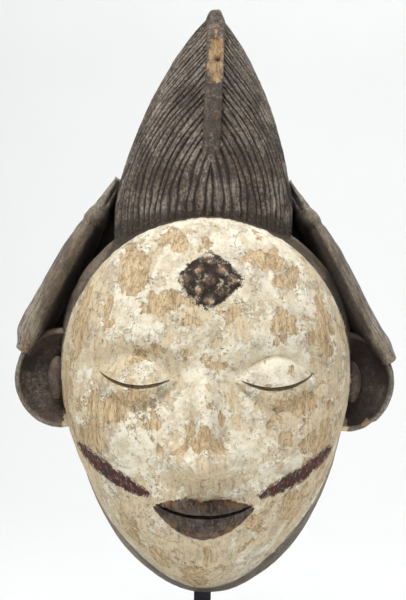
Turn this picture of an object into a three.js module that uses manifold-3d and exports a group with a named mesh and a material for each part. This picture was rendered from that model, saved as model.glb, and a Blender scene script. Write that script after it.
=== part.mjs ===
// A carved wooden face mask with a high crest of combed hair, two side tresses and cupped ears.
// It is hollow at the back and hangs on a plain square bar that rises from a flat foot.
// Millimetres, +Z up. The face looks along -Y, and the origin is the middle of the foot's underside.
import * as THREE from "three";
import { mergeVertices } from "three/addons/utils/BufferGeometryUtils.js";
import Module from "manifold-3d";

const wasm = await Module();
wasm.setup();

// Driving sizes of the mask
const maskHeight = 320; // chin to the tip of the crest
const faceWidth = 161;
const faceHeight = 201; // chin to hairline
const faceDepth = 104; // back rim to forehead
const wall = 13; // thickness of the carved shell
const rimSkew = 2; // how far the back rim stands to one side along the jaw
const slitHeight = 1.8; // gap of the eye and mouth slits
const slitClimb = 0.22; // how far the slits rise towards the back, for each millimetre of depth
const crestWidth = 100;
const strandPitch = 3.9; // from one carved strand of hair to the next at the foot of the crest
const strandDepth = 1.1;
const keelWidth = 10;
const keelRise = 3.6;
const tressThickness = 19;
const tressDepth = 42;
const earRadius = 27;
const earDepth = 24;
const earWall = 3.2;

// Driving sizes of the stand
const barSize = 10; // square steel bar
const cradleWidth = 52;
const seatDepth = 1.5; // how far the cradle's ends sit in notches in the wood
const footWidth = 130;
const footDepth = 130;
const footThickness = 12;
const footBevel = 1.5;
const socketDepth = 7;
const chinClearance = 72; // from the top of the foot to the chin
const clearance = 0.3; // between any two pieces that touch

// Places that follow from the driving sizes
const rimY = 35; // the mask's flat back rim, behind the middle of the foot
const chinZ = footThickness + chinClearance;
const widest = faceHeight * 0.587; // height of the widest line of the face above the chin
const halfFace = faceWidth / 2;

// A point of the mask: sideways, forward of the back rim, and up from the chin.
const at = (x, forward, up) => new THREE.Vector3(x, -forward, up);
const clamp01 = (t) => Math.min(1, Math.max(0, t));
const smooth = (from, to, t) => THREE.MathUtils.smoothstep(t, from, to);
const hill = (dx, dz, sx, sz) => Math.exp(-((dx / sx) ** 2) - (dz / sz) ** 2);
const power = (base, exponent) => Math.sign(base) * Math.abs(base) ** exponent;

// Joins the corners of a geometry that lie closer than a tolerance, and leaves out the faces this closes.
function welded(positions, tolerance) {
  const merged = mergeVertices(positions, tolerance);
  const corners = merged.index.array;
  const kept = [];
  for (let i = 0; i < corners.length; i += 3) {
    const [a, b, c] = corners.slice(i, i + 3);
    if (a !== b && b !== c && c !== a) kept.push(a, b, c);
  }
  return merged.setIndex(kept);
}

// Turns a geometry into a solid that can be cut and joined.
function solid(geometry) {
  const bare = geometry.index ? geometry.toNonIndexed() : geometry.clone();
  const positions = new THREE.BufferGeometry().setAttribute("position", bare.getAttribute("position"));
  const merged = welded(positions, 1e-4);
  const triVerts = new Uint32Array(merged.index.array);
  const vertProperties = merged.attributes.position.array;
  return new wasm.Manifold(new wasm.Mesh({ numProp: 3, vertProperties, triVerts }));
}

// Turns a finished solid back into a geometry, without the shortest edges that cutting leaves.
function geometryOf(manifold) {
  const mesh = manifold.getMesh();
  const positions = [];
  for (let i = 0; i < mesh.numVert; i++) {
    const start = i * mesh.numProp;
    positions.push(...mesh.vertProperties.subarray(start, start + 3));
  }
  const geometry = new THREE.BufferGeometry();
  geometry.setAttribute("position", new THREE.Float32BufferAttribute(positions, 3));
  geometry.setIndex(Array.from(mesh.triVerts));
  const merged = welded(geometry, 0.02);
  merged.computeVertexNormals();
  return merged;
}

// A closed skin over rows of points. A row that is one point closes the skin there, and every other row
// is a loop of the same length. The faces are turned round where the rows run the other way.
function skin(rows) {
  const points = rows.flat();
  const starts = [];
  rows.reduce((sum, row) => (starts.push(sum), sum + row.length), 0);
  const faces = [];
  for (let r = 0; r + 1 < rows.length; r++) {
    const [low, high] = [rows[r], rows[r + 1]];
    const count = Math.max(low.length, high.length);
    for (let i = 0; i < count; i++) {
      const next = (i + 1) % count;
      const a = starts[r] + (low.length === 1 ? 0 : i);
      const b = starts[r] + (low.length === 1 ? 0 : next);
      const c = starts[r + 1] + (high.length === 1 ? 0 : next);
      const d = starts[r + 1] + (high.length === 1 ? 0 : i);
      if (a !== b) faces.push([a, b, c]);
      if (c !== d) faces.push([a, c, d]);
    }
  }
  return closedGeometry(points, faces);
}

// An indexed geometry from points and triangles, with its faces pointing outwards.
function closedGeometry(points, faces) {
  const volume = faces.reduce((sum, [a, b, c]) => {
    return sum + points[a].dot(new THREE.Vector3().crossVectors(points[b], points[c]));
  }, 0);
  const outward = volume > 0 ? faces : faces.map(([a, b, c]) => [a, c, b]);
  const geometry = new THREE.BufferGeometry().setFromPoints(points);
  geometry.setIndex(outward.flat());
  return geometry;
}

// The outline of the white face, as a point and its outward direction, for an angle round its widest line
function faceOutline(angle) {
  const place = (t) => {
    const rise = Math.sin(t);
    const height = rise > 0 ? faceHeight - widest : widest;
    return new THREE.Vector2(halfFace * Math.cos(t) * jawTaper(rise), widest + height * rise);
  };
  const step = 1e-3;
  const along = place(angle + step).sub(place(angle - step)).normalize();
  return { point: place(angle), outward: new THREE.Vector2(along.y, -along.x) };
}

function jawTaper(rise) {
  return 1 - 0.3 * Math.min(rise, 0) ** 2;
}

// How far the edge of the white face stands in front of the back rim
function edgeForward(rise) {
  const side = faceDepth * 0.44;
  const end = rise > 0 ? faceDepth * 0.72 : faceDepth * 0.58;
  return side + (end - side) * rise ** 2;
}

// The broad form of the face, without its features. The place is given on a unit disc.
function broadForward(across, rise) {
  const fromMiddle = Math.min(1, Math.hypot(across, rise));
  const dome = (1 - fromMiddle ** 2.6) ** 0.52;
  const front = faceDepth * (1 - 0.05 * smooth(0, 0.8, -rise));
  const edge = edgeForward(rise);
  return edge + (front - edge) * dome;
}

// The canon of the face: thirds of its height from hairline to chin, and eyes one eye's width apart.
const third = faceHeight / 3;
const browHeight = 2 * third;
const noseHeight = third;
const mouthHeight = (third * 2) / 3;
const eyeHeight = (faceHeight * 4) / 7;
const eyeWidth = faceWidth / 4.3;
const eyeAcross = eyeWidth;
const noseHalf = eyeWidth * 0.46;
const mouthHalf = eyeWidth * 0.72;
const upperLip = third * 0.15;
const lowerLip = third * 0.2;

const mouthLine = (x) => mouthHeight + upperLip * 0.3 * (x / mouthHalf) ** 2;
const slitLine = (x) => {
  const t = (Math.abs(x) - eyeAcross) / (eyeWidth / 2);
  return eyeHeight - eyeWidth * (0.1 - 0.12 * t ** 2);
};

// Relief of the features, forward of the broad form
function features(x, up) {
  const side = Math.abs(x);
  return (
    brow(side, up) + socket(side, up) + eyelid(side, up) + nose(side, up) + cheeks(side, up) +
    muzzle(side, up) + lips(x, up) + chin(side, up)
  );
}

// How far the carved face stands in front of the back rim
function faceForward(x, up) {
  const rise = (up - widest) / (up > widest ? faceHeight - widest : widest);
  return broadForward(x / (halfFace * jawTaper(rise)), rise) + features(x, up);
}

function brow(side, up) {
  const t = (side - eyeAcross) / eyeWidth;
  const away = up - (browHeight + eyeWidth * (0.02 - 0.3 * t ** 2));
  const reach = smooth(0.03, 0.2, side / halfFace) * (1 - smooth(0.7, 0.95, side / halfFace));
  const width = away > 0 ? third * 0.2 : third * 0.075;
  return faceDepth * 0.03 * reach * Math.exp(-((away / width) ** 2));
}

function socket(side, up) {
  const hollow = hill(side - eyeAcross, up - eyeHeight - third * 0.04, eyeWidth * 0.74, third * 0.32);
  const root = hill(side, up - eyeHeight - third * 0.12, eyeWidth * 0.3, third * 0.22);
  return -faceDepth * (0.085 * hollow + 0.025 * root);
}

function eyelid(side, up) {
  const across = Math.abs((side - eyeAcross) / (eyeWidth * 0.6));
  const reach = Math.max(1e-3, 1 - across ** 1.8);
  const rise = (up - eyeHeight) / (third * 0.2 * reach);
  return faceDepth * 0.075 * reach ** 0.7 * clamp01(1 - rise ** 2) ** 0.6;
}

function nose(side, up) {
  const top = browHeight + third * 0.02;
  const along = clamp01((top - up) / (top - noseHeight));
  const base = noseHeight - third * 0.04 * Math.exp(-((side / (noseHalf * 0.35)) ** 2));
  const under = smooth(base - third * 0.04, base + third * 0.08, up);
  const half = noseHalf * (0.34 + 0.26 * along ** 2);
  const bridge = faceDepth * (0.03 + 0.16 * along ** 1.3) * smooth(0, 0.4, along);
  const ridge = bridge * Math.exp(-((side / half) ** 2.2));
  const wings = hill(side - noseHalf * 0.72, up - noseHeight - third * 0.1, noseHalf * 0.34, third * 0.11);
  const tip = hill(side, up - noseHeight - third * 0.11, noseHalf * 0.42, third * 0.12);
  const groove = hill(side, up - (noseHeight + mouthHeight + upperLip) / 2, noseHalf * 0.2, third * 0.12);
  return under * (ridge + faceDepth * (0.1 * wings + 0.05 * tip)) - faceDepth * 0.012 * groove;
}

function cheeks(side, up) {
  const over = up - noseHeight - third * 0.2;
  return faceDepth * 0.03 * hill(side - halfFace * 0.6, over, halfFace * 0.3, third * 0.4);
}

function muzzle(side, up) {
  return faceDepth * 0.06 * hill(side, up - mouthHeight, mouthHalf * 1.15, third * 0.4);
}

function lips(x, up) {
  const t = Math.abs(x) / mouthHalf;
  if (t >= 1) return 0;
  const bow = 1 - 0.22 * Math.exp(-((x / (mouthHalf * 0.16)) ** 2));
  const over = up - mouthLine(x);
  const reach = over > 0 ? upperLip * bow * (1 - t ** 2) ** 0.8 : lowerLip * (1 - t ** 2);
  const away = Math.abs(over) / Math.max(reach, 0.01);
  const full = (1 - t ** 3) * faceDepth * 0.06;
  return away < 1 ? full * (0.35 + 0.65 * (1 - away ** 2) ** 0.5) : 0;
}

function chin(side, up) {
  const ball = hill(side, up - third * 0.2, mouthHalf * 0.66, third * 0.2);
  const fold = hill(side, up - third * 0.38, mouthHalf * 0.6, third * 0.08);
  return faceDepth * (0.05 * ball - 0.025 * fold);
}

// Width of the dark band outside the white face, and how far the back rim spreads beyond it
const bandWidth = (rise) => 1.5 + 5 * smooth(-0.1, 0.6, rise);
function rimSpread(rise) {
  return 5 + 2 * smooth(0.2, 0.9, rise) + 11.5 * smooth(0.25, 0.9, -rise);
}

// The outline of the back rim, or of a line inside it. The rim is carved askew along the jaw.
function rimOutline(angle, inset) {
  const { point, outward } = faceOutline(angle);
  const rise = Math.sin(angle);
  point.addScaledVector(outward, rimSpread(rise) - inset);
  point.x += rimSkew * smooth(0, 0.5, -rise);
  return point;
}

// A grid that covers a unit disc evenly and is the same on both sides, with its outer loop in order
function discGrid(columns, rows) {
  const width = columns + 1;
  const spread = (t) => Math.sin(0.9 * t) / Math.sin(0.9);
  const places = [];
  const faces = [];
  for (let j = 0; j <= rows; j++) {
    for (let i = 0; i <= columns; i++) {
      const u = spread((2 * i) / columns - 1);
      const v = spread(1 - (2 * j) / rows);
      places.push([u * Math.sqrt(1 - (v * v) / 2), v * Math.sqrt(1 - (u * u) / 2)]);
      if (i === columns || j === rows) continue;
      const [a, b, c, d] = [j * width + i, (j + 1) * width + i, (j + 1) * width + i + 1, j * width + i + 1];
      const rising = i + 1 > columns / 2 === j < rows * 0.42;
      faces.push(...(rising ? [[a, b, d], [b, c, d]] : [[a, b, c], [a, c, d]]));
    }
  }
  const loop = [];
  for (let i = 0; i < columns; i++) loop.push(i);
  for (let j = 0; j < rows; j++) loop.push(j * width + columns);
  for (let i = columns; i > 0; i--) loop.push(rows * width + i);
  for (let j = rows; j > 0; j--) loop.push(j * width);
  return { places, faces, loop };
}

// A domed solid: a grid over the front, loops of points round its sides, and one point that closes its back
function dome(grid, frontPoint, sidePoints, backPoint) {
  const points = grid.places.map(([across, rise]) => frontPoint(across, rise));
  const faces = grid.faces.map((face) => [...face]);
  let last = grid.loop;
  for (const place of sidePoints) {
    const ring = grid.loop.map((index) => {
      const [across, rise] = grid.places[index];
      return points.push(place(Math.atan2(rise, across))) - 1;
    });
    ring.forEach((corner, i) => {
      const next = (i + 1) % ring.length;
      faces.push([last[i], ring[next], corner], [last[i], last[next], ring[next]]);
    });
    last = ring;
  }
  const back = points.push(backPoint) - 1;
  last.forEach((corner, i) => faces.push([corner, last[(i + 1) % last.length], back]));
  return closedGeometry(points, faces);
}

// The head: the white face in front, and the dark band and sides that run back to the flat rim
function head() {
  const front = (across, rise) => {
    const x = halfFace * across * jawTaper(rise);
    const up = widest + rise * (rise > 0 ? faceHeight - widest : widest);
    const fade = 1 - smooth(0.86, 1, Math.hypot(across, rise));
    return at(x, broadForward(across, rise) + fade * features(x, up), up);
  };
  const ring = (spread, forward) => (angle) => {
    const { point, outward } = faceOutline(angle);
    const rise = Math.sin(angle);
    point.addScaledVector(outward, spread(rise));
    return at(point.x, forward(edgeForward(rise)), point.y);
  };
  const rim = (angle) => {
    const point = rimOutline(angle, 0);
    return at(point.x, 0, point.y);
  };
  const sides = [ring(() => 0.8, (edge) => edge - 2.5), ring(bandWidth, (edge) => edge * 0.8 - 4), rim];
  return solid(dome(discGrid(31, 35), front, sides, at(0, 0, widest)));
}

// The hollow inside, which leaves a rim of the wall's thickness
const hollowDepth = faceDepth - wall;
const hollowForward = (fromMiddle) => hollowDepth * (1 - Math.min(1, fromMiddle) ** 2.4) ** 0.55;
function hollow() {
  const middle = new THREE.Vector2(0, widest);
  const behind = 6;
  const front = (across, rise) => {
    const fromMiddle = Math.hypot(across, rise);
    const edge = rimOutline(Math.atan2(rise, across), wall);
    const place = edge.sub(middle).multiplyScalar(fromMiddle).add(middle);
    return at(place.x, hollowForward(fromMiddle), place.y);
  };
  const side = (angle) => {
    const place = rimOutline(angle, wall);
    return at(place.x, -behind, place.y);
  };
  return solid(dome(discGrid(11, 12), front, [side], at(0, -behind, widest)));
}

// Height of the hollow's ceiling above the chin at a place inside it
function ceilingAt(across, forward) {
  const share = Math.max(0, 1 - (forward / hollowDepth) ** (1 / 0.55)) ** (1 / 2.4);
  const top = rimOutline(Math.PI / 2, wall).y - widest;
  const halfWidth = rimOutline(0, wall).x;
  return widest + top * Math.sqrt(Math.max(0, share ** 2 - (across / halfWidth) ** 2));
}

// The cradle of the stand reaches inside the mask and sits in notches at both ends of this seat.
const cradleForward = hollowDepth * 0.45;
const cradleTop = ceilingAt(cradleWidth / 2, cradleForward + barSize / 2) + seatDepth;

function seat() {
  const depth = barSize + 2 * clearance;
  const room = new THREE.BoxGeometry(cradleWidth + 2 * clearance, depth, 2 * barSize);
  return solid(room.translate(0, -cradleForward, cradleTop + clearance - barSize));
}

// A slit that tapers to both ends, cut through the front and climbing from the skin towards the back
function slit(line, from, to, start, end) {
  const steps = 8;
  const shape = new THREE.Shape();
  const half = (t) => (slitHeight / 2) * (1 - (2 * t - 1) ** 4) + slitHeight * 0.12;
  for (let i = 0; i <= steps; i++) {
    const x = from + ((to - from) * i) / steps;
    shape[i ? "lineTo" : "moveTo"](x, line(x) - half(i / steps));
  }
  for (let i = steps; i >= 0; i--) {
    const x = from + ((to - from) * i) / steps;
    shape.lineTo(x, line(x) + half(i / steps));
  }
  const cut = new THREE.ExtrudeGeometry(shape, { depth: end - start, bevelEnabled: false });
  const middle = (from + to) / 2;
  const skinForward = faceForward(middle, line(middle));
  const climb = new THREE.Matrix4().makeShear(0, 0, 0, slitClimb, 0, 0);
  climb.setPosition(0, 0, slitClimb * skinForward);
  return solid(cut.rotateX(Math.PI / 2).translate(0, -start, 0).applyMatrix4(climb));
}

// The crest of hair: a pointed arch from the front, with a keel along its middle
const crestFoot = faceHeight + 5;
const crestTop = maskHeight - 2;
const crestFrontFoot = faceDepth * 0.68;
const crestTipForward = faceDepth * 0.4;
const crestBackFoot = 2;
const crestRoot = 36; // how far the crest is sunk into the head
const keelFoot = 0.2; // share of the crest's height where the keel begins
const tressBack = 4;
const tressWeb = 12; // how far the back of a tress reaches in, to join it to the head
const tressSlope = 0.72; // how much of its front depth a tress loses on the side of the face
const earShift = -0.8; // both ears stand this far to one side
const earAcross = halfFace;
const earForward = faceDepth * 0.33;
const earHeight = faceHeight * 0.557;

// The hair is carved a little askew: it stands to one side at its foot and leans back towards the tip.
function hairShift(up) {
  const lean = clamp01((up - crestFoot) / (crestTop - crestFoot));
  return -3.2 * smooth(faceHeight * 0.62, faceHeight * 0.74, up) + 5.2 * lean;
}

// Middle and half depth of the crest seen from the side
function crestProfile(rise) {
  const bulge = 12 * rise * (1 - rise);
  const front = crestFrontFoot + (crestTipForward + 2 - crestFrontFoot) * rise ** 2.2 + bulge;
  const back = crestBackFoot + (crestTipForward - 2 - crestBackFoot) * rise ** 1.8;
  return { middle: (front + back) / 2, half: (front - back) / 2 };
}

// How far the crest is turned: its front is moved sideways this far, and its back the other way.
const crestTwist = (rise) => 3.5 * (1 - 0.7 * rise);

function crestPoint(side, turn, rise, carve) {
  const halfWidth = (crestWidth / 2) * (1 - rise ** 1.5) ** 0.78;
  const { middle, half } = crestProfile(rise);
  const sharp = 2 / (2.3 - 0.9 * rise);
  const angle = (turn * Math.PI) / 2;
  const shrink = 1 - carve / Math.max(6, halfWidth);
  const across = halfWidth * power(Math.sin(angle), sharp) * shrink;
  const along = power(Math.cos(angle), sharp) * shrink;
  const up = crestFoot + (crestTop - crestFoot) * rise;
  return at(side * across + hairShift(up) + crestTwist(rise) * along, middle + half * along, up);
}

// A strand starts on the keel, sweeps down and outwards, and meets the hairline upright. Strand 0 runs
// straight down from the keel's foot, strand 1 ends at the crest's side, and later ones start at its tip.
// Turn 0 is the keel in front and turn 1 the side.
function strandPlace(strand, fall) {
  if (strand <= 1) {
    const start = keelFoot + (1 - keelFoot) * strand ** 0.8;
    const left = 1 - fall;
    return { turn: strand * (1 - left ** 2), rise: start * left };
  }
  const end = Math.sqrt(strand * (strand - 1));
  const rise = 1 + (end - 1) * fall;
  return { turn: clamp01(strand - rise ** 2 / strand), rise };
}

// Number of strands between the keel and the crest's side, and the strand that ends at its tip
const strandsPerSide = Math.round((crestWidth * 0.7) / strandPitch);
const lastStrand = (1 + Math.sqrt(5)) / 2;

function crest() {
  const sideColumn = 2 * strandsPerSide;
  const tipColumns = Math.round(sideColumn * (lastStrand - 1));
  const strandAt = (i) => {
    return i <= sideColumn ? i / sideColumn : 1 + ((lastStrand - 1) * (i - sideColumn)) / tipColumns;
  };
  const points = [];
  const faces = [];
  const footOf = {};
  const quarter = (side, rear, rows) => {
    const corner = [];
    for (let i = 0; i <= sideColumn + tipColumns; i++) {
      corner.push([]);
      for (let j = 0; j <= rows; j++) {
        const { turn, rise } = strandPlace(strandAt(i), j / rows);
        const valley = i % 2 === 1 && j > 0 && turn < 0.999;
        const place = crestPoint(side, rear ? 2 - turn : turn, rise, valley ? strandDepth : 0);
        corner[i].push(points.push(place) - 1);
      }
    }
    const turned = side > 0 === rear;
    for (let i = 0; i < sideColumn + tipColumns; i++) {
      for (let j = 0; j < rows; j++) {
        const [a, b] = [corner[i][j], corner[i + 1][j]];
        const [c, d] = [corner[i + 1][j + 1], corner[i][j + 1]];
        faces.push(...(turned ? [[a, b, c], [a, c, d]] : [[a, c, b], [a, d, c]]));
      }
    }
    footOf[`${side}${rear}`] = corner.slice(0, sideColumn + 1).map((column) => column[rows]);
  };
  quarter(1, false, 5);
  quarter(1, true, 3);
  quarter(-1, true, 3);
  quarter(-1, false, 5);
  const foot = [
    ...footOf["1false"].slice(0, -1),
    ...footOf["1true"].slice(1).reverse(),
    ...footOf["-1true"].slice(0, -1),
    ...footOf["-1false"].slice(1).reverse(),
  ];
  const sunk = crestFoot - crestRoot;
  const root = foot.map((corner) => points.push(points[corner].clone().setZ(sunk)) - 1);
  const middle = points.push(at(0, crestFrontFoot / 2, sunk)) - 1;
  foot.forEach((corner, i) => {
    const next = (i + 1) % foot.length;
    faces.push([corner, root[i], root[next]], [corner, root[next], foot[next]]);
    faces.push([root[i], middle, root[next]]);
  });
  return solid(closedGeometry(points, faces));
}

// The keel: a flat rib along the crest's middle, over its round tip and down its back
function keel() {
  const steps = 12;
  const outline = [];
  const rib = (turn, from, to) => {
    for (let i = 0; i <= steps; i++) {
      const rise = from + ((to - from) * i) / steps;
      const place = crestPoint(1, turn, rise, 0);
      const proud = keelRise * smooth(keelFoot, keelFoot + 0.2, rise);
      outline.push(new THREE.Vector2(-place.y + (turn ? -proud : proud), place.z));
    }
  };
  rib(0, keelFoot, 0.96);
  for (const [beside, below] of [[6, 4], [3.5, 1], [0, 0], [-3.5, 1], [-6, 4]]) {
    outline.push(new THREE.Vector2(crestTipForward + beside, maskHeight - below));
  }
  rib(2, 0.96, keelFoot);
  const bevel = keelWidth * 0.2;
  const plate = new THREE.ExtrudeGeometry(new THREE.Shape(outline), {
    depth: keelWidth - 2 * bevel,
    bevelThickness: bevel,
    bevelSize: bevel,
    bevelOffset: -bevel,
    bevelSegments: 1,
  });
  const upright = new THREE.Matrix4().makeBasis(at(0, 1, 0), at(0, 0, 1), at(-1, 0, 0));
  return solid(followCrest(plate.translate(0, 0, bevel - keelWidth / 2).applyMatrix4(upright)));
}

// Bends a plate that stands on the middle plane so that it follows the crest, and narrows it at the tip.
function followCrest(geometry) {
  const position = geometry.getAttribute("position");
  for (let i = 0; i < position.count; i++) {
    const up = position.getZ(i);
    const rise = clamp01((up - crestFoot) / (crestTop - crestFoot));
    const { middle, half } = crestProfile(rise);
    const along = THREE.MathUtils.clamp((-position.getY(i) - middle) / half, -1, 1);
    const narrow = 1 - 0.5 * smooth(maskHeight - 9, maskHeight, up);
    position.setX(i, position.getX(i) * narrow + hairShift(up) + crestTwist(rise) * along);
  }
  return geometry;
}

// A tress: a thick flat lock that hangs from the foot of the crest to behind the ear
function tress(side) {
  const path = new THREE.QuadraticBezierCurve(
    new THREE.Vector2(crestWidth * 0.48, faceHeight + 22.5),
    new THREE.Vector2(halfFace * 0.947, faceHeight * 0.859),
    new THREE.Vector2(halfFace * 1.261, faceHeight * (side > 0 ? 0.614 : 0.629)),
  );
  const steps = 10;
  const corners = 10;
  const rows = [];
  for (let i = 0; i <= steps; i++) {
    const t = i / steps;
    const middle = path.getPoint(t);
    const along = path.getTangent(t);
    const outward = new THREE.Vector2(-along.y, along.x);
    const tie = 1 + 0.1 * Math.exp(-(((t - 0.2) / 0.05) ** 2));
    const end = smooth(0.9, 1, t);
    const half = (tressThickness / 2) * tie * smooth(-0.3, 0.5, t) * (1 - 0.25 * end);
    const deep = (tressDepth / 2) * tie * (0.55 + 0.45 * smooth(0, 0.3, t)) * (1 - 0.12 * end);
    const row = [];
    for (let k = 0; k < corners; k++) {
      const angle = (2 * Math.PI * (k + 0.5)) / corners;
      const [out, front] = [Math.cos(angle), Math.sin(angle)];
      const web = out < -0.1 && front < 0 ? tressWeb : 0;
      const place = middle.clone().addScaledVector(outward, half * power(out, 0.65) - web);
      const x = side * place.x + hairShift(Math.min(place.y, crestFoot));
      const slope = front > 0 ? 1 - tressSlope * smooth(-0.2, 0.8, -out) * smooth(0.12, 0.34, t) : 1;
      row.push(at(x, tressBack + tressDepth / 2 + deep * power(front, 0.65) * slope, place.y));
    }
    rows.push(row);
  }
  const top = path.getPoint(0).add(new THREE.Vector2(2.5, 3.5));
  const foot = path.getPoint(1).addScaledVector(path.getTangent(1), 1.5);
  const tip = ({ x, y }) => at(side * x + hairShift(y), tressBack + tressDepth / 2, y);
  return solid(skin([[tip(top)], ...rows, [tip(foot)]]));
}

// An ear: a half round cup that opens forwards, with a small tragus against the face
function ear(side) {
  const middle = at(side * earAcross + earShift, earForward, earHeight);
  const ball = (width, depth, height, segments) => {
    const sphere = new THREE.SphereGeometry(1, segments, Math.round(segments * 0.6)).rotateX(Math.PI / 2);
    return sphere.scale(width, depth, height).translate(middle.x, middle.y, middle.z);
  };
  const shell = solid(ball(earRadius, earDepth / 2, earRadius * 1.05, 14));
  const inner = ball(earRadius - earWall, earDepth / 2, earRadius * 1.05 - earWall, 12);
  const scoop = solid(inner.translate(0, -earDepth * 0.3, 0));
  const tragus = ball(earRadius * 0.2, earDepth * 0.3, earRadius * 0.45, 6);
  return shell.subtract(scoop).add(solid(tragus.translate(side * earRadius * 0.1, -earDepth * 0.1, 0)));
}

// The mark on the forehead: a lozenge of small raised scales
function scales() {
  const size = faceWidth * 0.045;
  const markAcross = 1.5;
  const markHeight = browHeight + third * 0.5;
  const made = [];
  for (let i = -1; i <= 1; i++) {
    for (let j = -1; j <= 1; j++) {
      const x = markAcross + ((i - j) * size) / Math.SQRT2;
      const up = markHeight + ((i + j) * size) / Math.SQRT2;
      const scale = new THREE.CylinderGeometry(size * 0.36, size * 0.7, 6, 4);
      const place = at(x, faceForward(x, up) - 1.5, up);
      made.push(solid(scale.rotateX(Math.PI).translate(place.x, place.y, place.z)));
    }
  }
  return made;
}

function carvedMask() {
  const eyes = [-1, 1].map((side) => {
    const [from, to] = [-1, 1].map((end) => side * eyeAcross + (end * eyeWidth) / 2);
    return slit(slitLine, from, to, hollowDepth * 0.55, faceDepth * 1.3);
  });
  const mouthEnd = mouthHalf * 0.94;
  const mouth = slit(mouthLine, -mouthEnd, mouthEnd, hollowDepth * 0.3, faceDepth * 1.4);
  const sides = [-1, 1].flatMap((side) => [tress(side), ear(side)]);
  const whole = [crest(), keel(), ...sides, ...scales()].reduce((sum, piece) => sum.add(piece), head());
  return [hollow(), seat(), ...eyes, mouth].reduce((left, piece) => left.subtract(piece), whole);
}

// The stand: a square bar behind the rim, with an arm and a crossbar that hold the mask from inside
const barY = rimY + clearance + barSize / 2;

function bar(width, depth, height, x, y, z) {
  const block = new THREE.BoxGeometry(width, depth, height);
  return solid(block.translate(x, y, z));
}

function standBar() {
  const top = chinZ + cradleTop;
  const bottom = footThickness - socketDepth + clearance;
  const front = rimY - cradleForward;
  const post = bar(barSize, barSize, top - bottom, 0, barY, (top + bottom) / 2);
  const armLength = barY - front;
  const arm = bar(barSize, armLength, barSize, 0, barY - armLength / 2, top - barSize / 2);
  return post.add(arm).add(bar(cradleWidth, barSize, barSize, 0, front, top - barSize / 2));
}

function standFoot() {
  const edge = footBevel;
  const outline = new THREE.Shape([
    new THREE.Vector2(-footWidth / 2 + edge, -footDepth / 2 + edge),
    new THREE.Vector2(footWidth / 2 - edge, -footDepth / 2 + edge),
    new THREE.Vector2(footWidth / 2 - edge, footDepth / 2 - edge),
    new THREE.Vector2(-footWidth / 2 + edge, footDepth / 2 - edge),
  ]);
  const plate = new THREE.ExtrudeGeometry(outline, {
    depth: footThickness - 2 * edge,
    bevelThickness: edge,
    bevelSize: edge,
    bevelSegments: 1,
  });
  const hole = barSize + 2 * clearance;
  const socket = bar(hole, hole, 2 * socketDepth, 0, barY, footThickness);
  return solid(plate.translate(0, 0, edge)).subtract(socket);
}

function piece(name, manifold, colour, roughness, metalness) {
  const material = new THREE.MeshStandardMaterial({ color: colour, roughness, metalness });
  const mesh = new THREE.Mesh(geometryOf(manifold), material);
  mesh.name = name;
  return mesh;
}

const group = new THREE.Group();
const mask = piece("mask", carvedMask(), 0xd8c9a8, 0.85, 0);
mask.position.set(0, rimY, chinZ);
group.add(mask);
group.add(piece("stand_bar", standBar(), 0x15161c, 0.5, 0.4));
group.add(piece("stand_foot", standFoot(), 0x15161c, 0.5, 0.4));

export default group;
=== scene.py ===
import itertools
import math

import bmesh
import bpy
import numpy as np
from mathutils import Matrix, Vector
from mathutils.bvhtree import BVHTree


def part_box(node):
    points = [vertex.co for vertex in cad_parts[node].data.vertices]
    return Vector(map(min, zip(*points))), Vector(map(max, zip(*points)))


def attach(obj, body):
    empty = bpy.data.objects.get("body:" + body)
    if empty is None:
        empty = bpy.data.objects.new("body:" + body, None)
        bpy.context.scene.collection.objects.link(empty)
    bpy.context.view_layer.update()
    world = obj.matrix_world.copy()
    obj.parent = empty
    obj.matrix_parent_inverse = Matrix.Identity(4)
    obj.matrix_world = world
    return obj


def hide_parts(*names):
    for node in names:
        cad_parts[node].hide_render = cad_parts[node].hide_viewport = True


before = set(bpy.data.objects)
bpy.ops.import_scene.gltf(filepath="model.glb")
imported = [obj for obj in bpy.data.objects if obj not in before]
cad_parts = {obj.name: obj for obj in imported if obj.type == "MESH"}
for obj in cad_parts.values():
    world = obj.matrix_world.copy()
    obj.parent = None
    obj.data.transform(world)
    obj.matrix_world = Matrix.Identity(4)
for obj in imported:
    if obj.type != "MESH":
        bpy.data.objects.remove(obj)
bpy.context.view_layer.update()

# A carved wooden face mask with a combed crest, two side tresses and cupped ears, on a square steel bar.
# The wood is worked in millimetres: sideways, forward of the back rim, and up from the chin. It is one
# piece, joined and hollowed as the carved block is, and its paint, wear and painted shade follow masks on
# its vertices.

# Driving sizes of the mask, in millimetres
MASK_HEIGHT = 320.0  # chin to the tip of the crest
FACE_WIDTH = 161.0
FACE_HEIGHT = 201.0  # chin to hairline
FACE_DEPTH = 104.0  # back rim to forehead
WALL = 13.0
RIM_SKEW = 2.0
SLIT_HEIGHT = 1.8
SLIT_CLIMB = 0.22  # how far the slits rise towards the back, for each millimetre of depth
CREST_WIDTH = 100.0
STRAND_PITCH = 3.9
STRAND_DEPTH = 1.5
KEEL_WIDTH = 10.0
KEEL_RISE = 3.6
TRESS_THICKNESS = 19.0
TRESS_DEPTH = 42.0
EAR_RADIUS = 27.0
EAR_DEPTH = 24.0
EAR_WALL = 3.2

# Driving sizes of the stand, in millimetres
BAR_SIZE = 10.0
CRADLE_WIDTH = 52.0
SEAT_DEPTH = 1.5
CLEARANCE = 0.3

# Where the mask stands in the frame, in millimetres
RIM_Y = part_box("mask")[1].y * 1000
CHIN_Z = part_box("mask")[1].z * 1000 - MASK_HEIGHT

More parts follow.
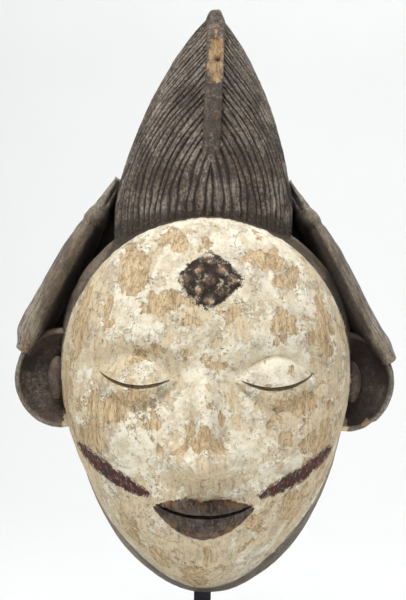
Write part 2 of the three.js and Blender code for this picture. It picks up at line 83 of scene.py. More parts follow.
# The canon of the face: thirds of its height from hairline to chin, and eyes one eye's width apart
WIDEST = FACE_HEIGHT * 0.587
HALF_FACE = FACE_WIDTH / 2
THIRD = FACE_HEIGHT / 3
BROW_HEIGHT = 2 * THIRD
NOSE_HEIGHT = THIRD
MOUTH_HEIGHT = THIRD * 2 / 3
EYE_HEIGHT = FACE_HEIGHT * 4 / 7
EYE_WIDTH = FACE_WIDTH / 4.3
EYE_ACROSS = EYE_WIDTH
NOSE_HALF = EYE_WIDTH * 0.46
MOUTH_HALF = EYE_WIDTH * 0.72
UPPER_LIP = THIRD * 0.15
LOWER_LIP = THIRD * 0.2

# The mark on the forehead and the painted cut on each cheek
MARK_ACROSS = 1.5
MARK_HEIGHT = BROW_HEIGHT + THIRD / 2
MARK_HALF_WIDTH = 17.5
MARK_HALF_HEIGHT = 15.5
SCALE_HEIGHT = 2.0
CHEEK_INNER = (28.0, 54.0)
CHEEK_OUTER = (70.0, 79.0)
CHEEK_CUT_HALF = 3.9
CHEEK_CUT_DEPTH = 0.8

# Hair and ears
CREST_FOOT = FACE_HEIGHT + 5
CREST_TOP = MASK_HEIGHT - 2
CREST_FRONT_FOOT = FACE_DEPTH * 0.68
CREST_TIP_FORWARD = FACE_DEPTH * 0.4
CREST_BACK_FOOT = 2.0
CREST_ROOT = 36.0
KEEL_FOOT = 0.2  # where the keel starts, as a share of the crest's height
KEEL_SINK = 1.8  # how deep its foot runs into the crest
TRESS_BACK = 4.0
TRESS_WEB = 12.0
TRESS_SLOPE = 0.72  # how much of its front depth a tress loses on the side of the face
TIE = 0.2  # share of a tress's length where its cross tie lies
EAR_ACROSS = HALF_FACE
EAR_SHIFT = -0.8  # both ears stand this far to one side
EAR_FORWARD = FACE_DEPTH * 0.33
EAR_HEIGHT = FACE_HEIGHT * 0.557
STRANDS = round(CREST_WIDTH * 0.7 / STRAND_PITCH)
STRAND_BEND = 1.2  # how slowly a strand turns away from the keel
STRAND_FALL = 3.0  # how soon it hangs straight down

# The hollow and the seat of the stand in it
HOLLOW_DEPTH = FACE_DEPTH - WALL
CRADLE_FORWARD = HOLLOW_DEPTH * 0.45


def smooth(start, end, t):
    t = np.clip((t - start) / (end - start), 0, 1)
    return t * t * (3 - 2 * t)


def hill(dx, dz, sx, sz):
    return np.exp(-((dx / sx) ** 2) - (dz / sz) ** 2)


def power(base, exponent):
    return np.sign(base) * np.abs(base) ** exponent


# Form of the face

def jaw_taper(rise):
    return 1 - 0.3 * np.minimum(rise, 0) ** 2


def face_span(rise):
    return np.where(rise > 0, FACE_HEIGHT - WIDEST, WIDEST)


def face_outline(angle):
    """Points of the white face's outline and their outward directions, for angles round its widest line."""
    def place(t):
        rise = np.sin(t)
        return np.stack([HALF_FACE * np.cos(t) * jaw_taper(rise), WIDEST + face_span(rise) * rise], -1)

    along = place(angle + 1e-3) - place(angle - 1e-3)
    along /= np.linalg.norm(along, axis=-1, keepdims=True)
    return place(angle), np.stack([along[..., 1], -along[..., 0]], -1)


def edge_forward(rise):
    side = FACE_DEPTH * 0.44
    end = np.where(rise > 0, FACE_DEPTH * 0.72, FACE_DEPTH * 0.58)
    return side + (end - side) * rise ** 2


def broad_forward(across, rise):
    from_middle = np.minimum(1, np.hypot(across, rise))
    dome = (1 - from_middle ** 2.6) ** 0.52
    front = FACE_DEPTH * (1 - 0.05 * smooth(0, 0.8, -rise))
    edge = edge_forward(rise)
    return edge + (front - edge) * dome


def mouth_line(x):
    return MOUTH_HEIGHT + UPPER_LIP * 0.3 * (x / MOUTH_HALF) ** 2


def slit_line(x):
    t = (np.abs(x) - EYE_ACROSS) / (EYE_WIDTH / 2)
    return EYE_HEIGHT - EYE_WIDTH * (0.1 - 0.12 * t ** 2)


def brow(side, up):
    t = (side - EYE_ACROSS) / EYE_WIDTH
    away = up - (BROW_HEIGHT + EYE_WIDTH * (0.02 - 0.3 * t ** 2))
    reach = smooth(0.03, 0.2, side / HALF_FACE) * (1 - smooth(0.7, 0.95, side / HALF_FACE))
    width = np.where(away > 0, THIRD * 0.2, THIRD * 0.075)
    return FACE_DEPTH * 0.03 * reach * np.exp(-((away / width) ** 2))


def socket(side, up):
    hollow = hill(side - EYE_ACROSS, up - EYE_HEIGHT - THIRD * 0.04, EYE_WIDTH * 0.74, THIRD * 0.32)
    root = hill(side, up - EYE_HEIGHT - THIRD * 0.12, EYE_WIDTH * 0.3, THIRD * 0.22)
    return -FACE_DEPTH * (0.085 * hollow + 0.025 * root)


def eyelid(side, up):
    across = np.abs((side - EYE_ACROSS) / (EYE_WIDTH * 0.6))
    reach = np.clip(1 - across ** 1.8, 1e-3, 1)
    rise = (up - EYE_HEIGHT) / (THIRD * 0.2 * reach)
    return FACE_DEPTH * 0.075 * reach ** 0.7 * np.clip(1 - rise ** 2, 0, 1) ** 0.6


def nose(side, up):
    top = BROW_HEIGHT + THIRD * 0.02
    along = np.clip((top - up) / (top - NOSE_HEIGHT), 0, 1)
    base = NOSE_HEIGHT - THIRD * 0.04 * np.exp(-((side / (NOSE_HALF * 0.35)) ** 2))
    under = smooth(base - THIRD * 0.04, base + THIRD * 0.08, up)
    half = NOSE_HALF * (0.34 + 0.26 * along ** 2)
    bridge = FACE_DEPTH * (0.03 + 0.16 * along ** 1.3) * smooth(0, 0.4, along)
    ridge = bridge * np.exp(-((side / half) ** 2.2))
    wings = hill(side - NOSE_HALF * 0.72, up - NOSE_HEIGHT - THIRD * 0.1, NOSE_HALF * 0.34, THIRD * 0.11)
    tip = hill(side, up - NOSE_HEIGHT - THIRD * 0.11, NOSE_HALF * 0.42, THIRD * 0.12)
    groove = hill(side, up - (NOSE_HEIGHT + MOUTH_HEIGHT + UPPER_LIP) / 2, NOSE_HALF * 0.2, THIRD * 0.12)
    return under * (ridge + FACE_DEPTH * (0.1 * wings + 0.05 * tip)) - FACE_DEPTH * 0.012 * groove


def cheeks(side, up):
    across = side - HALF_FACE * 0.6
    return FACE_DEPTH * 0.03 * hill(across, up - NOSE_HEIGHT - THIRD * 0.2, HALF_FACE * 0.3, THIRD * 0.4)


def muzzle(side, up):
    return FACE_DEPTH * 0.06 * hill(side, up - MOUTH_HEIGHT, MOUTH_HALF * 1.15, THIRD * 0.4)


def lip_away(x, up):
    """How far from the line of the mouth towards the rim of the lips, which is 1."""
    t = np.minimum(1, np.abs(x) / MOUTH_HALF)
    bow = 1 - 0.22 * np.exp(-((x / (MOUTH_HALF * 0.16)) ** 2))
    over = up - mouth_line(x)
    reach = np.where(over > 0, UPPER_LIP * bow * (1 - t ** 2) ** 0.8, LOWER_LIP * (1 - t ** 2))
    return np.minimum(np.abs(over) / np.maximum(reach, 0.01), 9)


def lips(x, up):
    away = lip_away(x, up)
    full = (1 - np.minimum(1, np.abs(x) / MOUTH_HALF) ** 3) * FACE_DEPTH * 0.06
    rim = 1 - smooth(0.94, 1.1, away)
    return full * rim * (0.35 + 0.65 * np.sqrt(1 - np.minimum(away, 1) ** 2))


def chin(side, up):
    ball = hill(side, up - THIRD * 0.2, MOUTH_HALF * 0.66, THIRD * 0.2)
    fold = hill(side, up - THIRD * 0.38, MOUTH_HALF * 0.6, THIRD * 0.08)
    return FACE_DEPTH * (0.05 * ball - 0.025 * fold)


def cheek_cut(x, up):
    """Millimetres inside the painted cut on either cheek, less than 0 outside it."""
    start, end = np.array(CHEEK_INNER), np.array(CHEEK_OUTER)
    length = np.hypot(*(end - start))
    along = (end - start) / length
    dx, dz = np.abs(x) - start[0], up - start[1]
    share = (dx * along[0] + dz * along[1]) / length
    aside = dz * along[0] - dx * along[1] + 2.2 * np.clip(4 * share * (1 - share), 0, 1)
    width = CHEEK_CUT_HALF * np.sqrt(np.clip(1 - (2 * share - 1) ** 2, 0, 1))
    return np.where(np.abs(2 * share - 1) < 1, width - np.abs(aside), -9)


def forehead_mark(x, up):
    """How deep inside the worn lozenge on the forehead, from 0 on its edge to 1 in its middle."""
    across = np.abs(x - MARK_ACROSS) / MARK_HALF_WIDTH
    return 1 - across ** 1.35 - (np.abs(up - MARK_HEIGHT) / MARK_HALF_HEIGHT) ** 1.35


def scales(x, up):
    """A lozenge of three rows of three raised scales, worn round."""
    right = ((x - MARK_ACROSS) / MARK_HALF_WIDTH + (up - MARK_HEIGHT) / MARK_HALF_HEIGHT) * 1.45
    left = ((x - MARK_ACROSS) / MARK_HALF_WIDTH - (up - MARK_HEIGHT) / MARK_HALF_HEIGHT) * 1.45
    bumps = np.abs(np.cos(np.pi * right) * np.cos(np.pi * left)) ** 0.5
    return (SCALE_HEIGHT * bumps - 0.5) * smooth(0, 0.16, forehead_mark(x, up))


def features(x, up):
    """All the relief of the face itself, without the mark and the cuts."""
    side = np.abs(x)
    relief = brow(side, up) + socket(side, up) + eyelid(side, up) + nose(side, up) + cheeks(side, up)
    return relief + muzzle(side, up) + lips(x, up) + chin(side, up)


def carved_relief(x, up):
    return features(x, up) + scales(x, up) - CHEEK_CUT_DEPTH * smooth(-0.4, 1.2, cheek_cut(x, up))


def carved_forward(across, rise, x, up):
    """The surface of the face with all its relief, which fades out towards its outline."""
    fade = 1 - smooth(0.86, 1, np.hypot(across, rise))
    return broad_forward(across, rise) + fade * carved_relief(x, up)


def face_forward(x, up):
    rise = (up - WIDEST) / face_span(up - WIDEST)
    return broad_forward(x / (HALF_FACE * jaw_taper(rise)), rise) + features(x, up)


# Rim, band and hollow

def band_width(rise):
    return 1.5 + 5 * smooth(-0.1, 0.6, rise)


def rim_spread(rise):
    return 5 + 2 * smooth(0.2, 0.9, rise) + 11.5 * smooth(0.25, 0.9, -rise)


def rim_outline(angle, inset):
    point, outward = face_outline(angle)
    rise = np.sin(angle)
    point = point + outward * (rim_spread(rise) - inset)[..., None]
    point[..., 0] += RIM_SKEW * smooth(0, 0.5, -rise)
    return point


def hollow_forward(from_middle):
    return HOLLOW_DEPTH * (1 - np.minimum(1, from_middle) ** 2.4) ** 0.55


def ceiling_at(across, forward):
    """Height of the hollow's ceiling above the chin."""
    share = max(0, 1 - (forward / HOLLOW_DEPTH) ** (1 / 0.55)) ** (1 / 2.4)
    top = rim_outline(np.array(math.pi / 2), WALL)[1] - WIDEST
    half_width = rim_outline(np.array(0.0), WALL)[0]
    return WIDEST + top * math.sqrt(max(0, share ** 2 - (across / half_width) ** 2))


CRADLE_TOP = ceiling_at(CRADLE_WIDTH / 2, CRADLE_FORWARD + BAR_SIZE / 2) + SEAT_DEPTH


# Form of the hair

def hair_shift(up):
    lean = np.clip((up - CREST_FOOT) / (CREST_TOP - CREST_FOOT), 0, 1)
    return -3.2 * smooth(FACE_HEIGHT * 0.62, FACE_HEIGHT * 0.74, up) + 5.2 * lean


def crest_profile(rise):
    lean = (CREST_TIP_FORWARD + 2 - CREST_FRONT_FOOT) * rise ** 2.2
    front = CREST_FRONT_FOOT + lean + 12 * rise * (1 - rise)
    back = CREST_BACK_FOOT + (CREST_TIP_FORWARD - 2 - CREST_BACK_FOOT) * rise ** 1.8
    return (front + back) / 2, (front - back) / 2


def crest_twist(rise):
    return 3.5 * (1 - 0.7 * rise)


def crest_half_width(rise):
    return CREST_WIDTH / 2 * (1 - rise ** 1.5) ** 0.78


def crest_point(side, turn, rise, carve):
    half_width = crest_half_width(rise)
    middle, half = crest_profile(rise)
    sharp = 2 / (2.3 - 0.9 * rise)
    angle = turn * np.pi / 2
    shrink = 1 - carve / np.maximum(6, half_width)
    across = half_width * power(np.sin(angle), sharp) * shrink
    along = power(np.cos(angle), sharp) * shrink
    up = CREST_FOOT + (CREST_TOP - CREST_FOOT) * rise
    x = side * across + hair_shift(up) + crest_twist(rise) * along
    return np.stack([x, middle + half * along, up + 0 * x], -1)


def strand_start(strand):
    """How high on the keel a strand starts, as a share of the crest's height. Past 1 it is above the tip."""
    return np.where(strand < 1, KEEL_FOOT + (1 - KEEL_FOOT) * np.minimum(strand, 1) ** 0.8, strand)


def strand_turn(strand, rise):
    """How far round the crest a strand is at a height: 0 on the keel in front, 1 at the crest's side."""
    return strand * np.clip(1 - (rise / strand_start(strand)) ** STRAND_FALL, 0, 1) ** STRAND_BEND


def strand_through(turn, rise):
    """The strand that runs through a place on the crest, found by halving."""
    low, high = np.zeros_like(turn), np.full_like(turn, 2.0)
    for _ in range(50):
        half_way = (low + high) / 2
        short = strand_turn(half_way, rise) < turn
        low, high = np.where(short, half_way, low), np.where(short, high, half_way)
    return low


# Strand 1 ends at the side of the crest, and the last strand at its tip
LAST_STRAND = float(strand_through(np.array(1.0), np.array(1.0)))


def strand_place(strand, fall):
    end = strand * (1 - np.maximum(1, strand) ** (-1 / STRAND_BEND)) ** (1 / STRAND_FALL)
    rise = np.where(strand < 1, strand_start(strand) * (1 - fall), 1 + (end - 1) * fall)
    return np.clip(strand_turn(strand, rise), 0, 1), rise


def strand_of(x, forward, up):
    """The strand of the crest at a point, and how near the point is to the crest's surface."""
    rise = np.clip((up - CREST_FOOT) / (CREST_TOP - CREST_FOOT), 0, 0.999)
    middle, half = crest_profile(rise)
    along = (forward - middle) / half
    across = np.abs(x - hair_shift(up) - crest_twist(rise) * along) / np.maximum(crest_half_width(rise), 1)
    sharp = 2 / (2.3 - 0.9 * rise)
    sine, cosine = across ** (1 / sharp), np.abs(along) ** (1 / sharp)
    turn = np.arctan2(sine, cosine) * 2 / np.pi
    return strand_through(turn, rise) * STRANDS, np.hypot(sine, cosine)


def strand_wander(count, rise):
    """How far the cuts between strands stray, as a share of a strand's width."""
    slow = 0.16 * np.sin(7 * rise + 0.9 * count) + 0.1 * np.sin(3.1 * count)
    return slow + 0.09 * np.sin(23 * rise + 1.7 * count + 1.5 * np.sin(11 * rise))


def strand_groove(count, rise):
    """Depth of the cut between two strands, as a share of the deepest cut."""
    beside = (count + strand_wander(count, rise)) % 1 - 0.5
    uneven = 0.7 + 0.24 * np.sin(5 * rise + 2.1 * count) + 0.16 * np.sin(31 * rise + 4.3 * count)
    return uneven * (0.3 * np.cos(np.pi * beside) ** 2 + 0.7 * np.exp(-((beside / 0.14) ** 2)))


def tress_path(side):
    """Corners of the curve that a tress follows: sideways and up."""
    foot = 0.614 if side > 0 else 0.629
    top = (CREST_WIDTH * 0.48, FACE_HEIGHT + 22.5)
    bend = (HALF_FACE * 0.947, FACE_HEIGHT * 0.859)
    return np.array([top, bend, (HALF_FACE * 1.261, FACE_HEIGHT * foot)])


def on_path(path, t):
    t = np.asarray(t)[..., None]
    place = (1 - t) ** 2 * path[0] + 2 * t * (1 - t) * path[1] + t ** 2 * path[2]
    along = (1 - t) * (path[1] - path[0]) + t * (path[2] - path[1])
    along /= np.linalg.norm(along, axis=-1, keepdims=True)
    return place, along


# Meshes

def to_row(points):
    """Sideways, forward and up in millimetres, as a place in the frame in metres."""
    x, forward, up = np.asarray(points, float).T
    return np.stack([x, RIM_Y - forward, CHIN_Z + up], -1) / 1000


def from_row(points):
    x, y, z = np.asarray(points, float).T * 1000
    return np.stack([x, RIM_Y - y, z - CHIN_Z], -1)


def new_object(name, mesh):
    made = bpy.data.objects.new(name, mesh)
    bpy.context.scene.collection.objects.link(made)
    return made


def closed_object(name, places, faces):
    """An object from places in metres, with its doubles merged and its faces turned outwards."""
    mesh = bpy.data.meshes.new(name)
    mesh.from_pydata(np.asarray(places).tolist(), [], faces)
    work = bmesh.new()
    work.from_mesh(mesh)
    bmesh.ops.remove_doubles(work, verts=work.verts, dist=1e-6)
    bmesh.ops.dissolve_degenerate(work, edges=work.edges, dist=1e-7)
    bmesh.ops.recalc_face_normals(work, faces=work.faces)
    work.to_mesh(mesh)
    work.free()
    return new_object(name, mesh)


def strip(last, ring):
    """Faces between two closed loops of the same length."""
    last, ring = np.asarray(last), np.asarray(ring)
    return np.stack([last, np.roll(last, -1), np.roll(ring, -1), ring], -1).tolist()


def fan(ring, tip):
    ring = np.asarray(ring)
    return np.stack([ring, np.roll(ring, -1), np.full(ring.size, tip)], -1).tolist()


def loft(name, rows, first, last):
    """A closed skin over loops of points, drawn together in one point at each end."""
    rows = np.asarray(rows)
    count, length = rows.shape[:2]
    points = np.vstack([rows.reshape(-1, 3), [first, last]])
    loops = np.arange(count * length).reshape(count, length)
    faces = fan(loops[0], count * length) + fan(loops[-1], count * length + 1)
    for low, high in zip(loops[:-1], loops[1:]):
        faces += strip(low, high)
    return closed_object(name, to_row(points), faces)


def disc_grid(columns, rows):
    """A grid over a unit disc, finer in its middle: its places, its faces and its outer loop in order."""
    def spread(t):
        return t * (0.82 + 0.18 * t * t)

    u, v = np.meshgrid(spread(np.linspace(-1, 1, columns + 1)), spread(np.linspace(1, -1, rows + 1)))
    index = np.arange(u.size).reshape(u.shape)
    corners = [index[:-1, :-1], index[1:, :-1], index[1:, 1:], index[:-1, 1:]]
    loop = np.concatenate([index[0, :-1], index[:-1, -1], index[-1, :0:-1], index[:0:-1, 0]])
    across, rise = u * np.sqrt(1 - v * v / 2), v * np.sqrt(1 - u * u / 2)
    return across.ravel(), rise.ravel(), np.stack(corners, -1).reshape(-1, 4).tolist(), loop


def dome(name, grid, front, sides, back):
    """A closed mesh: a grid over the front, loops round its sides, and one point that closes its back."""
    across, rise, faces, last = grid
    angle = np.arctan2(rise[last], across[last])
    points = [front(across, rise)]
    start = across.size
    for side in sides:
        ring = start + np.arange(angle.size)
        points.append(side(angle))
        faces = faces + strip(last, ring)
        last = ring
        start += angle.size
    return closed_object(name, to_row(np.vstack(points + [[back]])), faces + fan(last, start))


def head():
    """The white face, the dark band round it, and the sides that run back to the flat rim."""
    def front(across, rise):
        x = HALF_FACE * across * jaw_taper(rise)
        up = WIDEST + rise * face_span(rise)
        return np.stack([x, carved_forward(across, rise, x, up), up], -1)

    def ring(spread, forward):
        def side(angle):
            point, outward = face_outline(angle)
            rise = np.sin(angle)
            edge = edge_forward(rise)
            width = spread(rise)
            place = point + outward * width[:, None]
            return np.stack([place[:, 0], forward(edge), place[:, 1]], -1)
        return side

    def rim(inset, forward):
        def side(angle):
            place = rim_outline(angle, inset)
            return np.stack([place[:, 0], np.full(angle.size, forward), place[:, 1]], -1)
        return side

    def part_way(share):
        """A loop on the way from the band's outer edge back to the rim."""
        def side(angle):
            outer = ring(band_width, lambda edge: edge * 0.8 - 4)(angle)
            return outer + (rim(0, 0)(angle) - outer) * share
        return side

    narrow = ring(lambda rise: 0.8 + 0 * rise, lambda edge: edge - 2.5)
    half_way = ring(lambda rise: band_width(rise) * 0.62, lambda edge: edge * 0.86 - 2.6)
    sides = [narrow, half_way] + [part_way(share) for share in (0, 0.08, 0.3, 0.65, 0.95)]
    sides += [rim(0.3, 0.4), rim(1.5, 0)]
    return dome("head", disc_grid(172, 184), front, sides, (0, 0, WIDEST))


def hollow():
    behind = 6
    middle = np.array([0, WIDEST])

    def front(across, rise):
        from_middle = np.hypot(across, rise)
        place = (rim_outline(np.arctan2(rise, across), WALL) - middle) * from_middle[:, None] + middle
        return np.stack([place[:, 0], hollow_forward(from_middle), place[:, 1]], -1)

    def side(angle):
        place = rim_outline(angle, WALL)
        return np.stack([place[:, 0], np.full(angle.size, -behind), place[:, 1]], -1)

    return dome("hollow", disc_grid(58, 64), front, [side], (0, -behind, WIDEST))


def box(name, low, high):
    """A plain box between two corners, in millimetres of the mask."""
    corners = [[(low, high)[i][0], (low, high)[j][1], (low, high)[k][2]]
               for i in (0, 1) for j in (0, 1) for k in (0, 1)]
    faces = [(0, 1, 3, 2), (4, 6, 7, 5), (0, 4, 5, 1), (2, 3, 7, 6), (0, 2, 6, 4), (1, 5, 7, 3)]
    return closed_object(name, to_row(corners), faces)


def seat():
    half = CRADLE_WIDTH / 2 + CLEARANCE
    deep = BAR_SIZE / 2 + CLEARANCE
    top = CRADLE_TOP + CLEARANCE
    low = (-half, CRADLE_FORWARD - deep, top - 2 * BAR_SIZE)
    return box("seat", low, (half, CRADLE_FORWARD + deep, top))


def slit(name, line, start, end, back, front):
    """A slit that tapers to both ends, cut through the front and climbing from the skin towards the back."""
    t = np.linspace(0, 1, 41)
    x = start + (end - start) * t
    half = SLIT_HEIGHT / 2 * (1 - (2 * t - 1) ** 4) + SLIT_HEIGHT * 0.12
    across = np.concatenate([x, x[::-1]])
    up = np.concatenate([line(x) - half, (line(x) + half)[::-1]])
    skin = face_forward(np.array((start + end) / 2), line(np.array((start + end) / 2)))
    rows = [np.stack([across, np.full(across.size, forward), up + SLIT_CLIMB * (skin - forward)], -1)
            for forward in (back, front)]
    count = across.size
    ends = [list(range(count)), list(range(2 * count - 1, count - 1, -1))]
    return closed_object(name, to_row(np.vstack(rows)), strip(range(count), range(count, 2 * count)) + ends)


def crest():
    """Combed hair: strands start on the keel or at the tip, sweep down and meet the hairline upright."""
    per_strand = 6
    side_columns = per_strand * STRANDS
    tip_columns = per_strand * round(STRANDS * (LAST_STRAND - 1))
    to_side = np.arange(side_columns + 1) / side_columns
    to_tip = 1 + (LAST_STRAND - 1) * np.arange(1, tip_columns + 1) / tip_columns
    strand = np.concatenate([to_side, to_tip])[:, None]
    points, faces, feet = [], [], {}
    start = 0
    for side, rear, rows in ((1, False, 64), (1, True, 22), (-1, True, 22), (-1, False, 64)):
        turn, rise = strand_place(strand, np.linspace(0, 1, rows + 1)[None, :])
        carve = STRAND_DEPTH * strand_groove(strand * STRANDS, rise) * smooth(0.999, 0.97, turn)
        quarter = crest_point(side, 2 - turn if rear else turn, rise, carve)
        index = start + np.arange(turn.size).reshape(turn.shape)
        points.append(quarter.reshape(-1, 3))
        corners = [index[:-1, :-1], index[1:, :-1], index[1:, 1:], index[:-1, 1:]]
        faces += np.stack(corners, -1).reshape(-1, 4).tolist()
        feet[side, rear] = index[: side_columns + 1, -1]
        start += turn.size
    points = np.vstack(points)
    foot = np.concatenate([feet[1, False][:-1], feet[1, True][:0:-1],
                           feet[-1, True][:-1], feet[-1, False][:0:-1]])
    sunk = points[foot].copy()
    sunk[:, 2] = CREST_FOOT - CREST_ROOT
    root = start + np.arange(foot.size)
    faces += strip(foot, root) + fan(root, start + foot.size)
    middle = [[0, CREST_FRONT_FOOT / 2, CREST_FOOT - CREST_ROOT]]
    return closed_object("crest", to_row(np.vstack([points, sunk, middle])), faces)


def keel():
    """A flat rib along the crest's middle, over its round tip and down its back."""
    def rib(turn, start, end):
        rise = np.linspace(start, end, 44)
        place = crest_point(1, turn, rise, 0)
        grown = smooth(KEEL_FOOT, KEEL_FOOT + 0.2, rise)
        sunk = smooth(KEEL_FOOT + 0.09, KEEL_FOOT, rise)
        proud = (KEEL_RISE * grown - KEEL_SINK * sunk) * (-1 if turn else 1)
        return np.stack([place[:, 1] + proud, place[:, 2]], -1)

    swing = np.linspace(-0.5, 0.5, 13)[1:-1] * np.pi
    tip = np.stack([CREST_TIP_FORWARD - 6.2 * np.sin(swing), MASK_HEIGHT - 5 + 5 * np.cos(swing)], -1)
    outline = np.vstack([rib(0, KEEL_FOOT, 0.96), tip, rib(2, 0.96, KEEL_FOOT)])
    along = np.roll(outline, -1, 0) - np.roll(outline, 1, 0)
    along /= np.linalg.norm(along, axis=1, keepdims=True)
    inward = np.stack([-along[:, 1], along[:, 0]], -1)
    bevel = KEEL_WIDTH * 0.2
    rows = []
    for beside in np.sin(np.linspace(-0.5, 0.5, 15) * np.pi) * KEEL_WIDTH / 2:
        over = max(0, abs(beside) - (KEEL_WIDTH / 2 - bevel)) / bevel
        flat = outline + inward * bevel * (1 - math.sqrt(1 - over ** 2))
        rows.append(np.column_stack([np.full(len(flat), beside), flat]))
    rows = [follow_crest(row) for row in rows]
    ends = [row.mean(0) for row in (rows[0], rows[-1])]
    return loft("keel", rows, *ends)


def follow_crest(points):
    """Bends points of a plate on the middle plane to follow the crest, and narrows it at the tip."""
    x, forward, up = points.T
    rise = np.clip((up - CREST_FOOT) / (CREST_TOP - CREST_FOOT), 0, 1)
    middle, half = crest_profile(rise)
    along = np.clip((forward - middle) / half, -1, 1)
    narrow = 1 - 0.5 * smooth(MASK_HEIGHT - 9, MASK_HEIGHT, up)
    return np.stack([x * narrow + hair_shift(up) + crest_twist(rise) * along, forward, up], -1)


def tie_swell(t, cut):
    """How much a tress swells at its cross tie, between two cuts, as a factor on its size."""
    from_tie = np.abs(t - TIE)
    return 1 + 0.1 * np.exp(-((from_tie / 0.035) ** 4)) - cut * np.exp(-(((from_tie - 0.048) / 0.008) ** 2))


def tress_half(t):
    """Half the thickness of a tress, which is thinner at its ends."""
    return TRESS_THICKNESS / 2 * tie_swell(t, 0.07) * smooth(-0.3, 0.5, t) * (1 - 0.25 * smooth(0.9, 1, t))


def tress(side):
    """A thick flat lock from the foot of the crest to behind the ear, tied across near its top."""
    path = tress_path(side)
    angle = 2 * np.pi * (np.arange(56) + 0.5) / 56
    out, front = power(np.cos(angle), 0.65), power(np.sin(angle), 0.65)
    web = np.where((np.cos(angle) < -0.1) & (np.sin(angle) < 0), TRESS_WEB, 0)
    inner = smooth(-0.2, 0.8, -np.cos(angle)) * (front > 0)
    rows = []
    for t, close in [(t, 0) for t in np.linspace(0, 1, 76)] + [(1, q) for q in (0.35, 0.6, 0.8, 0.93)]:
        place, along = on_path(path, t)
        outward = np.array([-along[1], along[0]])
        half = tress_half(t)
        taper = (0.55 + 0.45 * smooth(0, 0.3, t)) * (1 - 0.12 * smooth(0.9, 1, t))
        deep = TRESS_DEPTH / 2 * tie_swell(t, 0.06) * taper
        slope = 1 - TRESS_SLOPE * inner * smooth(0.12, 0.34, t)
        lobes = 3 * np.exp(-(((out + 0.1) / 0.22) ** 2)) * (front > 0)
        lobes = lobes * smooth(0, 0.05, t) * (1 - smooth(0.11, 0.17, t))
        across = half * out - web
        forward = deep * front * slope - lobes
        if close:
            across, forward = across * math.sqrt(1 - close ** 2), forward * math.sqrt(1 - close ** 2)
            place = place + along * 2.5 * close
        flat = place + outward * across[:, None]
        x = side * flat[:, 0] + hair_shift(np.minimum(flat[:, 1], CREST_FOOT))
        rows.append(np.stack([x, TRESS_BACK + TRESS_DEPTH / 2 + forward, flat[:, 1]], -1))
    ends = []
    for place in (path[0] + [2.5, 3.5], path[2] + on_path(path, 1)[1] * 2.6):
        x = side * place[0] + hair_shift(np.minimum(place[1], CREST_FOOT))
        ends.append([x, TRESS_BACK + TRESS_DEPTH / 2, place[1]])
    return loft(f"tress_{'right' if side > 0 else 'left'}", rows, *ends)


def ball(name, middle, width, depth, height, segments):
    """An ellipsoid about a point of the mask, with its poles in front and behind."""
    turn = 2 * np.pi * np.arange(segments) / segments
    rows = []
    for polar in np.linspace(0, np.pi, segments // 2 + 1)[1:-1]:
        ring = [width * np.sin(polar) * np.cos(turn), np.full(segments, depth * np.cos(polar)),
                height * np.sin(polar) * np.sin(turn)]
        rows.append(np.stack(ring, -1) + middle)
    return loft(name, rows, middle + np.array([0, depth, 0]), middle - np.array([0, depth, 0]))


def ear(side):
    """A half round cup that opens forwards, and the small tragus against the face."""
    middle = np.array([side * EAR_ACROSS + EAR_SHIFT, EAR_FORWARD, EAR_HEIGHT])
    height = EAR_RADIUS * 1.05
    shell = ball(f"ear_{side}", middle, EAR_RADIUS, EAR_DEPTH / 2, height, 64)
    inside = middle + [0, EAR_DEPTH * 0.3, 0]
    scoop = ball(f"scoop_{side}", inside, EAR_RADIUS - EAR_WALL, EAR_DEPTH / 2, height - EAR_WALL, 60)
    beside = middle + [side * EAR_RADIUS * 0.1, EAR_DEPTH * 0.1, 0]
    tragus = ball(f"tragus_{side}", beside, EAR_RADIUS * 0.2, EAR_DEPTH * 0.3, EAR_RADIUS * 0.45, 24)
    return cut_and_joined(f"ear_{side}", shell, [("DIFFERENCE", scoop), ("UNION", tragus)])


def cut_and_joined(name, base, steps):
    """One solid from a base and a list of pieces to cut away from it or join to it, in order."""
    for operation, tool in steps:
        step = base.modifiers.new(tool.name, "BOOLEAN")
        step.operation = operation
        step.object = tool
        step.solver = "MANIFOLD"
    mesh = bpy.data.meshes.new_from_object(base.evaluated_get(bpy.context.evaluated_depsgraph_get()))
    for used in [base] + [tool for _, tool in steps]:
        bpy.data.objects.remove(used)
    mesh.name = name
    return new_object(name, mesh)


def eye_slit(side):
    middle = side * EYE_ACROSS
    ends = (middle - EYE_WIDTH / 2, middle + EYE_WIDTH / 2)
    return slit(f"eye_{side}", slit_line, *ends, HOLLOW_DEPTH * 0.55, FACE_DEPTH * 1.3)


def mouth_slit():
    half = MOUTH_HALF * 0.94
    return slit("mouth", mouth_line, -half, half, HOLLOW_DEPTH * 0.3, FACE_DEPTH * 1.4)


def carved_mask():
    joined = [crest(), keel(), tress(-1), tress(1), ear(-1), ear(1)]
    cut = [hollow(), seat(), eye_slit(-1), eye_slit(1), mouth_slit()]
    steps = [("UNION", piece) for piece in joined] + [("DIFFERENCE", piece) for piece in cut]
    return cut_and_joined("mask_wood", head(), steps)


# Masks on the vertices, for carving marks, paint, wear and painted shade

# Where the white is rubbed off the wood: sideways, up, half width and half height, in millimetres
BARE_PATCHES = [
    (-38, 172, 8, 12), (-21, 153, 10, 8), (-65, 150, 4, 20), (-17, 188, 8, 4), (30, 179, 9, 4),
    (42, 170, 7, 6), (61, 145, 6, 17), (42, 145, 6, 8), (4, 122, 10, 3), (-50, 102, 17, 7),
    (47, 104, 15, 5), (-59, 86, 8, 10), (41, 84, 5, 5), (61, 82, 8, 9), (0, 84, 7, 4), (-41, 36, 7, 6),
    (25, 40, 6, 5), (-3, 11, 6, 7), (-75, 108, 3, 20), (48, 46, 6, 10), (-24, 20, 5, 6), (-6, 142, 7, 3),
    (12, 150, 6, 3),
]
